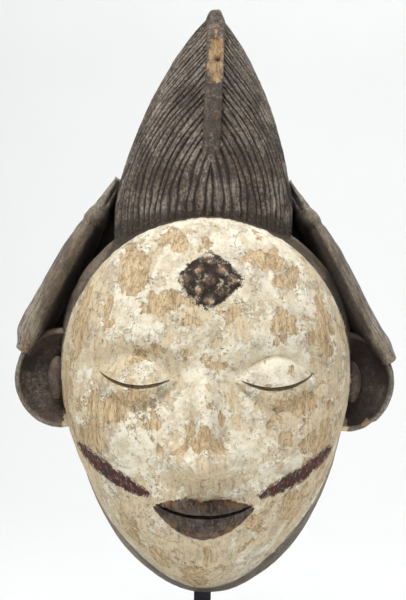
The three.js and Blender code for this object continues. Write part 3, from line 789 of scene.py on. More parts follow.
# Chips of pale wood on the outermost edges: sideways, forward, up and radius
PALE_CHIPS = [(-97, 36, 141, 2), (92, 38, 88, 4)]
KEEL_PATCH = (301, 279)  # top and foot of the bare wood on the front of the keel, above the chin
KEEL_HOLE = (1.6, 289.5, 1.7)  # sideways, up and radius of a hole in it
MEAN_REACH = 88.0  # from the middle of the face to its outline, on average
JAW_WHITE = 11.5  # how far the white runs round the jaw, past the face's outline


def near_patches(x, up, patches):
    """From 1 in the middle of the nearest of a list of patches to 0 on its edge and -1 outside."""
    most = np.full_like(x, -1.0)
    for across, height, half_width, half_height in patches:
        most = np.maximum(most, 1 - np.hypot((x - across) / half_width, (up - height) / half_height))
    return most


def sums_over_edges(edges, values, count):
    """For each vertex, the sum of a value over its neighbours."""
    total = np.zeros((count,) + values.shape[1:])
    for column in range(values.shape[1]):
        total[:, column] += np.bincount(edges[:, 0], values[edges[:, 1], column], count)
        total[:, column] += np.bincount(edges[:, 1], values[edges[:, 0], column], count)
    return total


def proudness(mesh, places, normals):
    """How far each vertex stands out of its surroundings, in millimetres: edges more than 0, dips less."""
    edges = np.empty(len(mesh.edges) * 2, np.int64)
    mesh.edges.foreach_get("vertices", edges)
    edges = edges.reshape(-1, 2)
    count = len(places)
    neighbours = np.maximum(sums_over_edges(edges, np.ones((count, 1)), count), 1)
    even = places
    for _ in range(10):
        even = 0.5 * even + 0.5 * sums_over_edges(edges, even, count) / neighbours
    return ((places - even) * normals).sum(1) * 1000


def shelter(made, places, normals, reach=0.03):
    """Share of the space in front of each vertex that the wood itself closes off."""
    tree = BVHTree.FromObject(made, bpy.context.evaluated_depsgraph_get())
    rng = np.random.default_rng(7)
    rays = rng.normal(size=(14, 3))
    rays /= np.linalg.norm(rays, axis=1, keepdims=True)
    closed = np.zeros(len(places))
    for i, (place, normal) in enumerate(zip(places, normals)):
        start = Vector(place + normal * 0.0004)
        for ray in rays:
            ahead = ray + normal * 1.05
            if tree.ray_cast(start, Vector(ahead), reach)[0] is not None:
                closed[i] += 1
    return closed / len(rays)


LATTICE = np.random.default_rng(3).uniform(-1, 1, (32, 32, 32))


def clouds(places, size, octaves=3, shift=0.0, stretch=1.0):
    """Soft noise about 0 with lumps of about a size in millimetres, drawn out upwards by a factor."""
    total, weight = np.zeros(len(places)), 1.0
    cell = places * [1000, 1000, 1000 / stretch] / size + shift
    for _ in range(octaves):
        low = np.floor(cell).astype(int)
        share = smooth(0, 1, cell - low)
        for corner in itertools.product((0, 1), repeat=3):
            value = LATTICE[tuple(((low + corner) % 32).T)]
            total += weight * value * np.where(corner, share, 1 - share).prod(1)
        cell, weight = cell * 2.13 + 5.7, weight * 0.55
    return total


def vertex_arrays(mesh):
    places = np.empty(len(mesh.vertices) * 3)
    normals = np.empty(len(mesh.vertices) * 3)
    mesh.vertices.foreach_get("co", places)
    mesh.vertices.foreach_get("normal", normals)
    return places.reshape(-1, 3), normals.reshape(-1, 3)


def inside_white(rise, from_middle, behind):
    """Roughly how many millimetres inside the edge of the white a place is, less than 0 outside it."""
    inside = (1 - from_middle) * MEAN_REACH
    jaw = JAW_WHITE * smooth(0.1, 0.5, -rise) * smooth(50, 38, behind) * (from_middle > 0.98)
    return np.where(np.abs(behind) < 2.6, inside, np.minimum(-3, inside)) + jaw


def rubbed_off(places, x, up):
    """More than 0 where the white is rubbed off down to the wood: the patches, and spots between them."""
    wobble = clouds(places, 11, 3, 3.0), clouds(places, 11, 3, 9.0)
    patches = near_patches(x + 5 * wobble[0], up + 5 * wobble[1], BARE_PATCHES)
    spots = 1.5 * clouds(places, 9, 3, 21.0, 1.4) - 1.0
    return np.maximum(patches, spots)


def worn_thin(places, x, up, across, rise):
    """More than 0 where the white is only a film, which is mostly at the sides and low on the face."""
    thick = 0.6 * hill(x - 6, up - 185, 38, 20) + 0.5 * hill(np.abs(x) - 27, up - 82, 15, 17)
    thick += 0.4 * hill(x, up - 108, 14, 22) + 0.35 * hill(np.abs(x) - 34, up - 125, 26, 7)
    worn = 0.45 * smooth(0.5, 0.95, np.abs(across)) + 0.3 * smooth(0.25, 0.8, -rise)
    return worn - thick + 0.75 * clouds(places, 20, 3, 14.0, 1.3) - 0.06


def face_masks(places, x, forward, up):
    """Where the white, the lips, the cheek cuts and the forehead mark lie, and how worn the white is."""
    rise = (up - WIDEST) / face_span(up - WIDEST)
    across = x / (HALF_FACE * jaw_taper(np.clip(rise, -1, 1)))
    from_middle = np.hypot(across, rise)
    behind = carved_forward(across, rise, x, up) - forward
    inside = inside_white(rise, from_middle, behind)
    in_wall = (from_middle < 0.97) * (forward > hollow_forward(from_middle) + 1.5)
    return {
        "inside_face": np.clip(inside, -20, 20),
        "rubbed": np.clip(rubbed_off(places, x, up), -1, 1),
        "thin": np.clip(worn_thin(places, x, up, across, rise), -1, 1),
        "lips": np.clip((1 - lip_away(x, up)) * 6, -6, 6),
        "cheek_cut": np.clip(cheek_cut(x, up), -6, 6),
        "forehead_mark": np.clip(forehead_mark(x, up) * 9, -6, 9),
        "scale_top": np.clip(scales(x, up) / SCALE_HEIGHT, 0, 1),
        "head_side": smooth(0, 1, -inside) * (np.abs(x) < HALF_FACE + 12) * (up < CREST_FOOT + 2),
        "cut_wall": smooth(2.0, 4.0, behind) * in_wall,
    }


def hair_masks(x, forward, up):
    """Where the strands of the crest, the keel and its bare patch lie."""
    count, near = strand_of(x, forward, up)
    on_crest = (up > CREST_FOOT - 22) * smooth(0.12, 0.05, np.abs(near - 0.98))
    rise = np.clip((up - CREST_FOOT) / (CREST_TOP - CREST_FOOT), 0, 1)
    beside = x - hair_shift(up) - crest_twist(rise)
    on_keel = (np.abs(beside) < KEEL_WIDTH * 0.56) * smooth(KEEL_FOOT, KEEL_FOOT + 0.15, rise) * (near > 1.0)
    middle = sum(KEEL_PATCH) / 2
    inside = 1 - np.hypot((beside - 0.6) / 4.6, (up - middle) / ((KEEL_PATCH[0] - KEEL_PATCH[1]) / 2 + 4))
    hole = np.hypot(beside - KEEL_HOLE[0], up - KEEL_HOLE[1]) / KEEL_HOLE[2]
    in_front = forward > CREST_TIP_FORWARD
    return {
        "strand": np.where(on_crest > 0.4, count + strand_wander(count, rise), 0),
        "browned": hill(x, up - CREST_FOOT - 6, 34, 26) * on_crest,
        "on_strands": on_crest * (1 - on_keel),
        "on_keel": on_keel,
        "keel_bare": np.where(in_front * (on_keel > 0.5), np.clip(inside, -1, 1), -1),
        "keel_hole": np.where(in_front, smooth(1.2, 0.7, hole), 0),
    }


def tress_masks(x, forward, up):
    """How far across a tress a place on it lies, from -1 inside to 1 outside, and how far along it."""
    across, along, on = np.zeros_like(x), np.zeros_like(x), np.zeros_like(x)
    steps = np.linspace(0, 1, 81)
    for side in (-1, 1):
        path, tangent = on_path(tress_path(side), steps)
        flat = np.stack([side * (x - hair_shift(np.minimum(up, CREST_FOOT))), up], -1)
        away = ((flat[:, None] - path[None]) ** 2).sum(-1)
        nearest = away.argmin(1)
        outward = np.stack([-tangent[nearest, 1], tangent[nearest, 0]], -1)
        out = ((flat - path[nearest]) * outward).sum(1) / tress_half(steps[nearest])
        here = (np.abs(out) < 1.12) * (away.min(1) < 12 ** 2) * (forward > 2) * (forward < TRESS_DEPTH + 12)
        across, along = np.where(here, out, across), np.where(here, steps[nearest], along)
        on = np.maximum(on, here)
    return {"on_tress": on, "tress_across": np.clip(across, -1.2, 1.2), "tress_along": along}


def in_ears(x, forward, up):
    """From 0 outside to 1 in the hollow of an ear's cup."""
    size = np.array([EAR_RADIUS - EAR_WALL, EAR_DEPTH / 2, EAR_RADIUS * 1.05 - EAR_WALL])
    from_middle = np.stack([np.abs(x - EAR_SHIFT) - EAR_ACROSS, forward - EAR_FORWARD - EAR_DEPTH * 0.3,
                            up - EAR_HEIGHT], -1)
    return smooth(1.06, 1.0, np.linalg.norm(from_middle / size, axis=1)) * (np.abs(x) > HALF_FACE)


def crust(x, up, inside):
    """Rough dirt where the hair meets the white, from 0 to 1."""
    at_crest = smooth(CREST_WIDTH / 2 + 12, CREST_WIDTH / 2, np.abs(x)) * (up > BROW_HEIGHT)
    return at_crest * smooth(3, 0, inside) * smooth(-5.5, -3.5, inside)


def inside_hollow(x, forward, up):
    rise = (up - WIDEST) / face_span(up - WIDEST)
    angle = np.arctan2(rise, x / HALF_FACE)
    edge = np.linalg.norm(rim_outline(angle, WALL) - [0, WIDEST], axis=1)
    share = np.hypot(x, up - WIDEST) / edge
    return (share < 1.01) * smooth(2.5, 1.0, forward - hollow_forward(share))


def chipped(places, x, forward, up, proud):
    """Where the dark surface has broken away from an edge and pale wood shows."""
    most = np.full(len(x), -1.0)
    for across, ahead, height, radius in PALE_CHIPS:
        away = np.sqrt((x - across) ** 2 + (forward - ahead) ** 2 * 0.2 + (up - height) ** 2) / radius
        most = np.maximum(most, 1 - away)
    most += 0.8 * clouds(places, 3.5, 3, 7.0)
    edges = smooth(0.5, 0.9, clouds(places, 8, 3, 31.0)) * smooth(0.3, 0.8, proud)
    return np.clip(np.maximum(smooth(-0.1, 0.2, most), 0.8 * edges), 0, 1)


def all_masks(places, x, forward, up, proud):
    masks = face_masks(places, x, forward, up)
    masks.update(hair_masks(x, forward, up))
    masks.update(tress_masks(x, forward, up))
    masks["hollow"] = inside_hollow(x, forward, up)
    masks["inside_face"] = np.where(masks["hollow"] > 0.1, -6, masks["inside_face"])
    masks["crust"] = crust(x, up, masks["inside_face"])
    masks["head_side"] *= 1 - masks["on_strands"]
    masks["in_ear"] = in_ears(x, forward, up) * (masks["inside_face"] < -1)
    dark_side = (1 - smooth(-1, 1, masks["inside_face"])) * (1 - masks["hollow"])
    masks["chips"] = chipped(places, x, forward, up, proud) * dark_side
    masks["chips"] *= np.abs(x - EAR_SHIFT) > EAR_ACROSS + 9
    masks["proud"] = np.clip(proud, -1.5, 1.5)
    return masks


def small_relief(places, masks):
    """How far tool marks and dirt raise each vertex, and flakes and chips sink it, in millimetres."""
    in_face = smooth(-1, 1, masks["inside_face"])
    broad, fine = clouds(places, 16, 3, 2.0), clouds(places, 3.2, 3, 5.0)
    outside = (0.3 - 0.12 * in_face) * broad + 0.12 * fine
    tool_marks = np.where(masks["hollow"] > 0.5, 0.5 * broad, outside)
    flaked = 0.28 * smooth(-0.15, 0.1, masks["rubbed"]) + 0.14 * smooth(-0.1, 0.1, masks["thin"])
    broken = 0.8 * masks["chips"] + 0.9 * smooth(0, 0.3, masks["keel_bare"]) + 2.5 * masks["keel_hole"]
    rough = masks["crust"] * 0.35 * clouds(places, 2.4, 2, 8.0)
    return tool_marks + rough - in_face * flaked - broken


def weathered(made):
    """Cuts small tool marks, flakes and chips into the wood, and writes the masks for its paint, its wear
    and its painted shade.
    """
    mesh = made.data
    places, normals = vertex_arrays(mesh)
    x, forward, up = from_row(places).T
    masks = all_masks(places, x, forward, up, proudness(mesh, places, normals))
    moved = places + normals * (small_relief(places, masks) / 1000)[:, None]
    mesh.vertices.foreach_set("co", moved.ravel())
    mesh.update()
    # Share of closed space round each vertex, used for painted shade in the sheltered corners of the wood
    # and the white.
    masks["shelter"] = shelter(made, *vertex_arrays(mesh))
    for name, values in masks.items():
        written = mesh.attributes.new(name, "FLOAT", "POINT")
        written.data.foreach_set("value", values.astype(np.float32))
    return made


# Shader building blocks

def colour(red, green, blue):
    """A linear colour from 8-bit screen values."""
    def linear(value):
        share = value / 255
        return share / 12.92 if share < 0.04045 else ((share + 0.055) / 1.055) ** 2.4

    return (linear(red), linear(green), linear(blue), 1)


def node(tree, kind, inputs=None, **settings):
    """A new node. Each of its inputs is a value, or the socket that feeds it."""
    made = tree.nodes.new(kind)
    for name, value in settings.items():
        setattr(made, name, value)
    for name, value in (inputs or {}).items():
        if isinstance(value, bpy.types.NodeSocket):
            tree.links.new(value, made.inputs[name])
        else:
            made.inputs[name].default_value = value
    return made


def maths(tree, operation, first, second=0.0, clamp=False):
    made = node(tree, "ShaderNodeMath", {0: first, 1: second}, operation=operation, use_clamp=clamp)
    return made.outputs[0]


def times(tree, first, second):
    return maths(tree, "MULTIPLY", first, second)


def plus(tree, *terms):
    total = terms[0]
    for term in terms[1:]:
        total = maths(tree, "ADD", total, term)
    return total


def between(tree, value, low, high, to_low=0.0, to_high=1.0):
    """A soft step from one value to another while the input goes from low to high."""
    inputs = {"Value": value, "From Min": low, "From Max": high, "To Min": to_low, "To Max": to_high}
    return node(tree, "ShaderNodeMapRange", inputs, interpolation_type="SMOOTHSTEP").outputs["Result"]


def mixed(tree, factor, first, second, blend="MIX"):
    made = node(tree, "ShaderNodeMix", {0: factor, 6: first, 7: second}, data_type="RGBA", blend_type=blend)
    return made.outputs[2]


def coat(tree, under, where, share, tone):
    """A share of one colour over what is under it, where a mask says."""
    return mixed(tree, times(tree, where, share), under, colour(*tone))


def mixed_value(tree, factor, first, second):
    return node(tree, "ShaderNodeMix", {0: factor, 2: first, 3: second}, data_type="FLOAT").outputs[0]


def noise_at(tree, vector, scale, detail=4.0, roughness=0.55, distortion=0.0):
    inputs = {"Vector": vector, "Scale": scale, "Detail": detail, "Roughness": roughness}
    inputs["Distortion"] = distortion
    return node(tree, "ShaderNodeTexNoise", inputs).outputs["Fac"]


def stretched(tree, vector, scale):
    return node(tree, "ShaderNodeMapping", {"Vector": vector, "Scale": scale}).outputs[0]


def added(tree, vector, other):
    return node(tree, "ShaderNodeVectorMath", {0: vector, 1: other}).outputs[0]


def warped(tree, vector, scale, amount, detail):
    """A vector pushed about by noise."""
    noise = node(tree, "ShaderNodeTexNoise", {"Vector": vector, "Scale": scale, "Detail": detail})
    inputs = {0: noise.outputs["Color"], "Scale": amount}
    push = node(tree, "ShaderNodeVectorMath", inputs, operation="SCALE").outputs[0]
    return added(tree, vector, push)


def attribute(tree, name):
    return node(tree, "ShaderNodeAttribute", attribute_name=name).outputs["Fac"]


GROUPS = {}


def group(name, inputs, outputs, build):
    """A shader group with named inputs and outputs, built once. build gives the socket of each output."""
    if name in GROUPS:
        return GROUPS[name]
    tree = bpy.data.node_groups.new(name, "ShaderNodeTree")
    for label, kind, value in inputs:
        made = tree.interface.new_socket(label, in_out="INPUT", socket_type=kind)
        if value is not None:
            made.default_value = value
    for label in outputs:
        tree.interface.new_socket(label, in_out="OUTPUT", socket_type="NodeSocketFloat")
    start = tree.nodes.new("NodeGroupInput")
    end = tree.nodes.new("NodeGroupOutput")
    for label, made in build(tree, start.outputs).items():
        tree.links.new(made, end.inputs[label])
    GROUPS[name] = tree
    return tree


def placed(tree, made, **inputs):
    """One use of a group in a material."""
    use = node(tree, "ShaderNodeGroup", node_tree=made)
    for name, value in inputs.items():
        if isinstance(value, bpy.types.NodeSocket):
            tree.links.new(value, use.inputs[name])
        else:
            use.inputs[name].default_value = value
    return use.outputs


def wood_grain():
    """Upright grain: long pale and dark lines with short pores in them."""
    def build(tree, given):
        long_lines = stretched(tree, given["Vector"], (1, 1, 0.05))
        pores = stretched(tree, given["Vector"], (1, 1, 0.16))
        lines = noise_at(tree, long_lines, given["Scale"], 6, 0.7, 0.4)
        short = noise_at(tree, pores, times(tree, given["Scale"], 3.1), 3, 0.6)
        tone = plus(tree, times(tree, lines, 0.65), times(tree, short, 0.35))
        return {"Tone": between(tree, tone, 0.36, 0.62), "Pores": between(tree, short, 0.44, 0.3)}

    inputs = [("Vector", "NodeSocketVector", None), ("Scale", "NodeSocketFloat", 420.0)]
    return group("wood grain", inputs, ["Tone", "Pores"], build)


def torn_field():
    """Lumps, small flakes and chips about 0, which make the edge of a worn layer ragged."""
    def build(tree, given):
        scale = given["Scale"]
        coarse = noise_at(tree, given["Vector"], scale, 3, 0.6)
        fine = noise_at(tree, given["Vector"], times(tree, scale, 4.3), 4, 0.7)
        bent = warped(tree, given["Vector"], times(tree, scale, 3.0), 0.003, 1.0)
        cells = node(tree, "ShaderNodeTexVoronoi", {"Vector": bent, "Scale": times(tree, scale, 2.4)})
        chip = node(tree, "ShaderNodeSeparateColor", {"Color": cells.outputs["Color"]}).outputs[0]
        lumps = plus(tree, times(tree, coarse, 1.5), times(tree, fine, 1.1), times(tree, chip, 0.3))
        return {"Field": plus(tree, lumps, -1.45)}

    inputs = [("Vector", "NodeSocketVector", None), ("Scale", "NodeSocketFloat", 110.0)]
    return group("torn field", inputs, ["Field"], build)


def layer_gone(tree, torn, level, ragged, softness=0.03):
    """Where a layer has come off, which is where its level is above 0, and the edge of that place."""
    level = plus(tree, level, times(tree, torn, ragged))
    gone = between(tree, level, -softness, softness)
    return gone, between(tree, maths(tree, "ABSOLUTE", level), 0.09, 0.0)


def fine_cracks():
    """Broken hairline cracks, and small dark pits in clusters."""
    def build(tree, given):
        bent = warped(tree, given["Vector"], 190.0, 0.011, 4.0)
        inputs = {"Vector": bent, "Scale": given["Scale"]}
        cells = node(tree, "ShaderNodeTexVoronoi", inputs, feature="DISTANCE_TO_EDGE")
        here = between(tree, noise_at(tree, given["Vector"], 75.0, 3), 0.5, 0.6)
        lines = times(tree, between(tree, cells.outputs["Distance"], 0.035, 0.0), here)
        crowd = between(tree, noise_at(tree, given["Vector"], 95.0, 3), 0.4, 0.66, 0.0, 0.09)
        pits = maths(tree, "SUBTRACT", noise_at(tree, given["Vector"], 900.0, 3, 0.6), 0.68)
        return {"Cracks": lines, "Pits": between(tree, plus(tree, pits, crowd), 0.0, 0.05)}

    inputs = [("Vector", "NodeSocketVector", None), ("Scale", "NodeSocketFloat", 130.0)]
    return group("fine cracks", inputs, ["Cracks", "Pits"], build)


def combed_lines():
    """Cuts between strands of hair, from a count of strands, with finer scratches along them."""
    def build(tree, given):
        share = maths(tree, "FRACT", given["Strand"])
        beside = maths(tree, "ABSOLUTE", maths(tree, "SUBTRACT", share, 0.5))
        uneven = noise_at(tree, given["Vector"], 130.0, 4, 0.7)
        width = between(tree, uneven, 0.3, 0.7, 0.16, 0.38)
        cut = maths(tree, "SUBTRACT", 1.0, maths(tree, "DIVIDE", beside, width), clamp=True)
        across = node(tree, "ShaderNodeCombineXYZ", {"X": times(tree, given["Strand"], 3.4)}).outputs[0]
        slow = stretched(tree, given["Vector"], (25, 25, 25))
        fibres = noise_at(tree, added(tree, across, slow), 1.6, 4, 0.65)
        return {"Cut": cut, "Fibres": fibres}

    inputs = [("Vector", "NodeSocketVector", None), ("Strand", "NodeSocketFloat", 0.0)]
    return group("combed lines", inputs, ["Cut", "Fibres"], build)


# Materials

def new_material(name):
    made = bpy.data.materials.new(name)
    made.use_nodes = True
    shader = made.node_tree.nodes["Principled BSDF"]
    coords = made.node_tree.nodes.new("ShaderNodeTexCoord").outputs["Object"]
    return made, made.node_tree, shader, coords


def bump(tree, shader, height):
    """Relief from a height in millimetres."""
    made = node(tree, "ShaderNodeBump", {"Height": height, "Distance": 0.001})
    tree.links.new(made.outputs["Normal"], shader.inputs["Normal"])


def bare_wood(tree, grain):
    """Pale dry wood where the stain has gone, with brown dirt in its pores."""
    warm = mixed(tree, grain["Tone"], colour(138, 104, 68), colour(196, 163, 118))
    return coat(tree, warm, grain["Pores"], 0.7, (84, 60, 40))


def patina(tree, coords, grain, mottle, redness, speckle):
    """Dusty grey-brown stain, reddish and black here and there, and browner at the foot of the crest."""
    tone = plus(tree, times(tree, mottle, 0.5), times(tree, speckle, 0.5))
    wood = mixed(tree, between(tree, tone, 0.42, 0.6), colour(84, 71, 60), colour(184, 170, 153))
    lines = times(tree, between(tree, grain["Tone"], 0.5, 1.0), 0.4)
    wood = mixed(tree, lines, wood, colour(148, 138, 126))
    red = between(tree, redness, 0.53, 0.66)
    wood = coat(tree, wood, red, 0.5, (102, 74, 54))
    blackness = noise_at(tree, added(tree, coords, (3.0, 3.0, 3.0)), 110.0, 5, 0.75)
    wood = mixed(tree, times(tree, between(tree, blackness, 0.54, 0.64), 0.6), wood, colour(54, 44, 38))
    browned = times(tree, attribute(tree, "browned"), between(tree, mottle, 0.35, 0.6, 1.0, 0.4))
    return coat(tree, wood, browned, 0.6, (84, 64, 50))


def tress_wood(tree, tress_fibres, under):
    """A tress worn pale and given a painted highlight on its outer side, streaked along its length, and
    given painted shade on its inner side.
    """
    on_tress = attribute(tree, "on_tress")
    across = attribute(tree, "tress_across")
    # The outer side is lightened: wear and a painted highlight.
    worn_and_highlit_side = times(tree, between(tree, across, -0.5, 0.3), on_tress)
    wood = coat(tree, under, worn_and_highlit_side, 0.8, (196, 184, 166))
    streaks = times(tree, between(tree, tress_fibres, 0.56, 0.42), on_tress)
    wood = coat(tree, wood, streaks, 0.85, (64, 54, 46))
    # The inner side, turned towards the head, is darkened: painted shade.
    inner_side = times(tree, between(tree, across, -0.2, -0.65), on_tress)
    return coat(tree, wood, inner_side, 0.7, (52, 41, 34))


def soiled_sides_and_shaded_ears(tree, mottle, redness, under):
    """Brown dirt on the band beside the white, and a reddish black in the cups of the ears: reddish dirt,
    darkened further as painted shade.
    """
    side = times(tree, attribute(tree, "head_side"), between(tree, mottle, 0.3, 0.55, 0.85, 0.45))
    dirt = mixed(tree, between(tree, redness, 0.4, 0.6), colour(70, 57, 46), colour(122, 102, 80))
    wood = mixed(tree, side, under, dirt)
    # The cups of the ears are darkened: reddish dirt and painted shade.
    cup = times(tree, attribute(tree, "in_ear"), between(tree, redness, 0.35, 0.62, 0.85, 0.5))
    dark = mixed(tree, between(tree, mottle, 0.45, 0.6), colour(56, 45, 39), colour(84, 58, 50))
    return mixed(tree, cup, wood, dark)


def grime_and_painted_shade(tree, cut, speckle, under):
    """Near black in cuts, dips and sheltered corners, with a fine grit over everything: grime and painted
    shade in the cuts between strands, painted shade in dips, and painted shade with dark patina in sheltered
    corners.
    """
    # Cuts between strands are darkened as grime and painted shade, dips as painted shade.
    dip = between(tree, attribute(tree, "proud"), -0.1, -0.9)
    dark = maths(tree, "MAXIMUM", times(tree, cut, 0.9), times(tree, dip, 0.7))
    wood = mixed(tree, dark, under, colour(36, 27, 22))
    # Painted shade, with dark patina, where the wood closes off the space in front of it.
    closed = between(tree, attribute(tree, "shelter"), 0.35, 0.9)
    wood = coat(tree, wood, closed, 0.85, (36, 26, 21))
    return mixed(tree, 1.0, wood, between(tree, speckle, 0.36, 0.64, 0.76, 1.2), "MULTIPLY")


def stained_wood(tree, coords, grain, lines, tress_fibres, speckle):
    """The dark wood of hair, ears and head: patina, fibres, wear on what is proud, dirt, and painted shade
    and highlights.
    """
    mottle = noise_at(tree, coords, 48.0, 6, 0.66)
    redness = noise_at(tree, coords, 85.0, 5, 0.7)
    wood = patina(tree, coords, grain, mottle, redness, speckle)
    on_strands = attribute(tree, "on_strands")
    fibres = times(tree, between(tree, lines["Fibres"], 0.56, 0.38), on_strands)
    wood = coat(tree, wood, fibres, 0.65, (62, 51, 43))
    wood = tress_wood(tree, tress_fibres, wood)
    rubbed = between(tree, attribute(tree, "proud"), 0.15, 0.9)
    wood = coat(tree, wood, rubbed, 0.55, (168, 152, 128))
    wood = soiled_sides_and_shaded_ears(tree, mottle, redness, wood)
    cut = times(tree, between(tree, lines["Cut"], 0.1, 0.8), on_strands)
    return grime_and_painted_shade(tree, cut, speckle, wood)


def keel_wood(tree, coords, grain, torn, under):
    """The keel: darker than the strands, with a bare cracked place that has a hole in it, and painted shade
    along the edge of that place and in the hole.
    """
    patchy = between(tree, noise_at(tree, coords, 90.0, 5, 0.7), 0.36, 0.56)
    rib = times(tree, attribute(tree, "on_keel"), patchy)
    wood = coat(tree, under, rib, 0.75, (64, 51, 42))
    cracks = noise_at(tree, stretched(tree, coords, (1, 1, 0.12)), 500.0, 4, 0.7)
    cracks = times(tree, between(tree, cracks, 0.43, 0.36), 0.75)
    cracked = mixed(tree, cracks, bare_wood(tree, grain), colour(72, 52, 38))
    bare, edge = layer_gone(tree, torn, attribute(tree, "keel_bare"), 0.7, 0.05)
    wood = mixed(tree, bare, wood, cracked)
    # Painted shadow along the edge of the bare place.
    wood = coat(tree, wood, edge, 0.5, (50, 38, 30))
    # The hole is painted near black: painted shade.
    return mixed(tree, attribute(tree, "keel_hole"), wood, colour(22, 16, 13))


def crusted(tree, coords, under):
    """Brown and ochre dirt caked along the hairline."""
    specks = noise_at(tree, coords, 750.0, 4, 0.8)
    dirt = mixed(tree, between(tree, specks, 0.52, 0.7), colour(66, 53, 43), colour(158, 134, 102))
    ragged = maths(tree, "SUBTRACT", noise_at(tree, coords, 230.0, 5, 0.7), 0.7)
    here = plus(tree, attribute(tree, "crust"), ragged)
    return mixed(tree, times(tree, between(tree, here, 0.0, 0.4), 0.8), under, dirt)


def hollow_wood(tree, coords, grain):
    """Brown unstained wood in the hollow."""
    patches = between(tree, noise_at(tree, coords, 45.0, 4), 0.35, 0.7)
    wood = mixed(tree, patches, colour(96, 76, 58), colour(146, 118, 88))
    return coat(tree, wood, grain["Tone"], 0.35, (70, 54, 41))


def ochre_wash(tree, coords, grain):
    """A warm wash over the grain, redder here and there, under the white."""
    wash = mixed(tree, grain["Tone"], colour(174, 144, 104), colour(232, 208, 168))
    wash = coat(tree, wash, grain["Pores"], 0.6, (124, 98, 68))
    blush = between(tree, noise_at(tree, coords, 70.0, 3), 0.52, 0.68)
    return coat(tree, wash, blush, 0.3, (208, 172, 128))


def soiled_clay(tree, coords, clay):
    """Clay with grey clouds and fine brown specks of dirt."""
    grey = between(tree, noise_at(tree, coords, 65.0, 6, 0.75), 0.48, 0.68)
    clay = coat(tree, clay, grey, 0.55, (172, 158, 143))
    specks = between(tree, noise_at(tree, coords, 520.0, 4, 0.75), 0.54, 0.7)
    return coat(tree, clay, specks, 0.4, (146, 130, 110))


def white_clay(tree, coords, grain):
    """Dry white clay over the wash, thinned to a film and rubbed off in places, with painted shadow along
    the edges of its flakes and painted shade in its sheltered hollows, and its relief.
    """
    wash = ochre_wash(tree, coords, grain)
    streaks = noise_at(tree, stretched(tree, coords, (1, 1, 0.12)), 620.0, 5, 0.7)
    film = mixed(tree, between(tree, streaks, 0.36, 0.6, 0.3, 1.0), wash, colour(234, 217, 184))
    cloudy = noise_at(tree, coords, 150.0, 5, 0.65)
    white = mixed(tree, between(tree, cloudy, 0.34, 0.62), colour(228, 213, 182), colour(253, 245, 223))
    torn = placed(tree, torn_field(), Vector=added(tree, coords, (3.0, 1.0, 4.0)), Scale=105.0)["Field"]
    thin, thin_edge = layer_gone(tree, torn, attribute(tree, "thin"), 1.5, 0.05)
    torn = placed(tree, torn_field(), Vector=added(tree, coords, (7.0, 2.0, 9.0)), Scale=130.0)["Field"]
    bare, bare_edge = layer_gone(tree, torn, attribute(tree, "rubbed"), 1.15)
    clay = soiled_clay(tree, coords, mixed(tree, thin, white, film))
    marks = placed(tree, fine_cracks(), Vector=coords, Scale=130.0)
    clay = coat(tree, clay, marks["Cracks"], 0.6, (104, 86, 68))
    clay = mixed(tree, bare, clay, wash)
    # Painted shadow along the ragged edges where the white is rubbed off or thinned.
    rims = maths(tree, "MAXIMUM", bare_edge, times(tree, thin_edge, 0.5))
    rims = times(tree, rims, between(tree, noise_at(tree, coords, 330.0, 3), 0.42, 0.62))
    clay = coat(tree, clay, rims, 0.7, (112, 90, 66))
    clay = coat(tree, clay, marks["Pits"], 0.75, (84, 68, 54))
    # Painted shade in the sheltered hollows of the white.
    closed = between(tree, attribute(tree, "shelter"), 0.25, 0.85)
    clay = coat(tree, clay, closed, 0.6, (132, 112, 88))
    gone = plus(tree, times(tree, bare, 0.3), times(tree, thin, 0.16))
    lost = plus(tree, gone, times(tree, marks["Cracks"], 0.2), times(tree, marks["Pits"], 0.15))
    lumps = plus(tree, times(tree, cloudy, 0.5), times(tree, streaks, 0.12))
    return clay, maths(tree, "SUBTRACT", lumps, lost)


def painted(tree, coords, torn, under, inside, tones, ragged, lost=0.0):
    """A pigment inside a mask given in millimetres: mottled from tones, ragged at its edge and scuffed."""
    level = plus(tree, times(tree, inside, -0.45), lost)
    gone = layer_gone(tree, torn, level, ragged, 0.12)[0]
    first, second, scuff = tones
    mottled = mixed(tree, between(tree, noise_at(tree, coords, 210.0, 4, 0.7), 0.4, 0.6), first, second)
    marks = noise_at(tree, stretched(tree, coords, (1, 1, 0.4)), 620.0, 4, 0.75)
    mottled = mixed(tree, times(tree, between(tree, marks, 0.52, 0.64), 0.65), mottled, scuff)
    return mixed(tree, gone, mottled, under)


def lip_paint(tree, coords, torn, under):
    """Dark brown on the lips, with ochre wood showing along their rims."""
    inside = attribute(tree, "lips")
    tones = (colour(62, 50, 43), colour(98, 86, 77), colour(134, 122, 110))
    dark = painted(tree, coords, torn, under, inside, tones, 0.6)
    rim = times(tree, between(tree, inside, 4.2, 1.6), between(tree, inside, -0.3, 0.6))
    patchy = noise_at(tree, stretched(tree, coords, (1, 1, 0.5)), 240.0, 5, 0.75)
    rim = times(tree, rim, between(tree, patchy, 0.45, 0.6))
    return coat(tree, dark, rim, 0.8, (142, 106, 66))


def cheek_paint(tree, coords, torn, under):
    """Plum and red earth in the cut on each cheek, outlined in dark brown."""
    inside = attribute(tree, "cheek_cut")
    tones = (colour(70, 54, 50), colour(98, 46, 44), colour(170, 150, 132))
    paint = painted(tree, coords, torn, under, inside, tones, 1.3, 0.15)
    line = times(tree, between(tree, maths(tree, "ABSOLUTE", inside), 1.3, 0.2), 0.8)
    broken = between(tree, noise_at(tree, coords, 260.0, 4, 0.7), 0.4, 0.6)
    return mixed(tree, times(tree, line, broken), paint, colour(84, 64, 48))


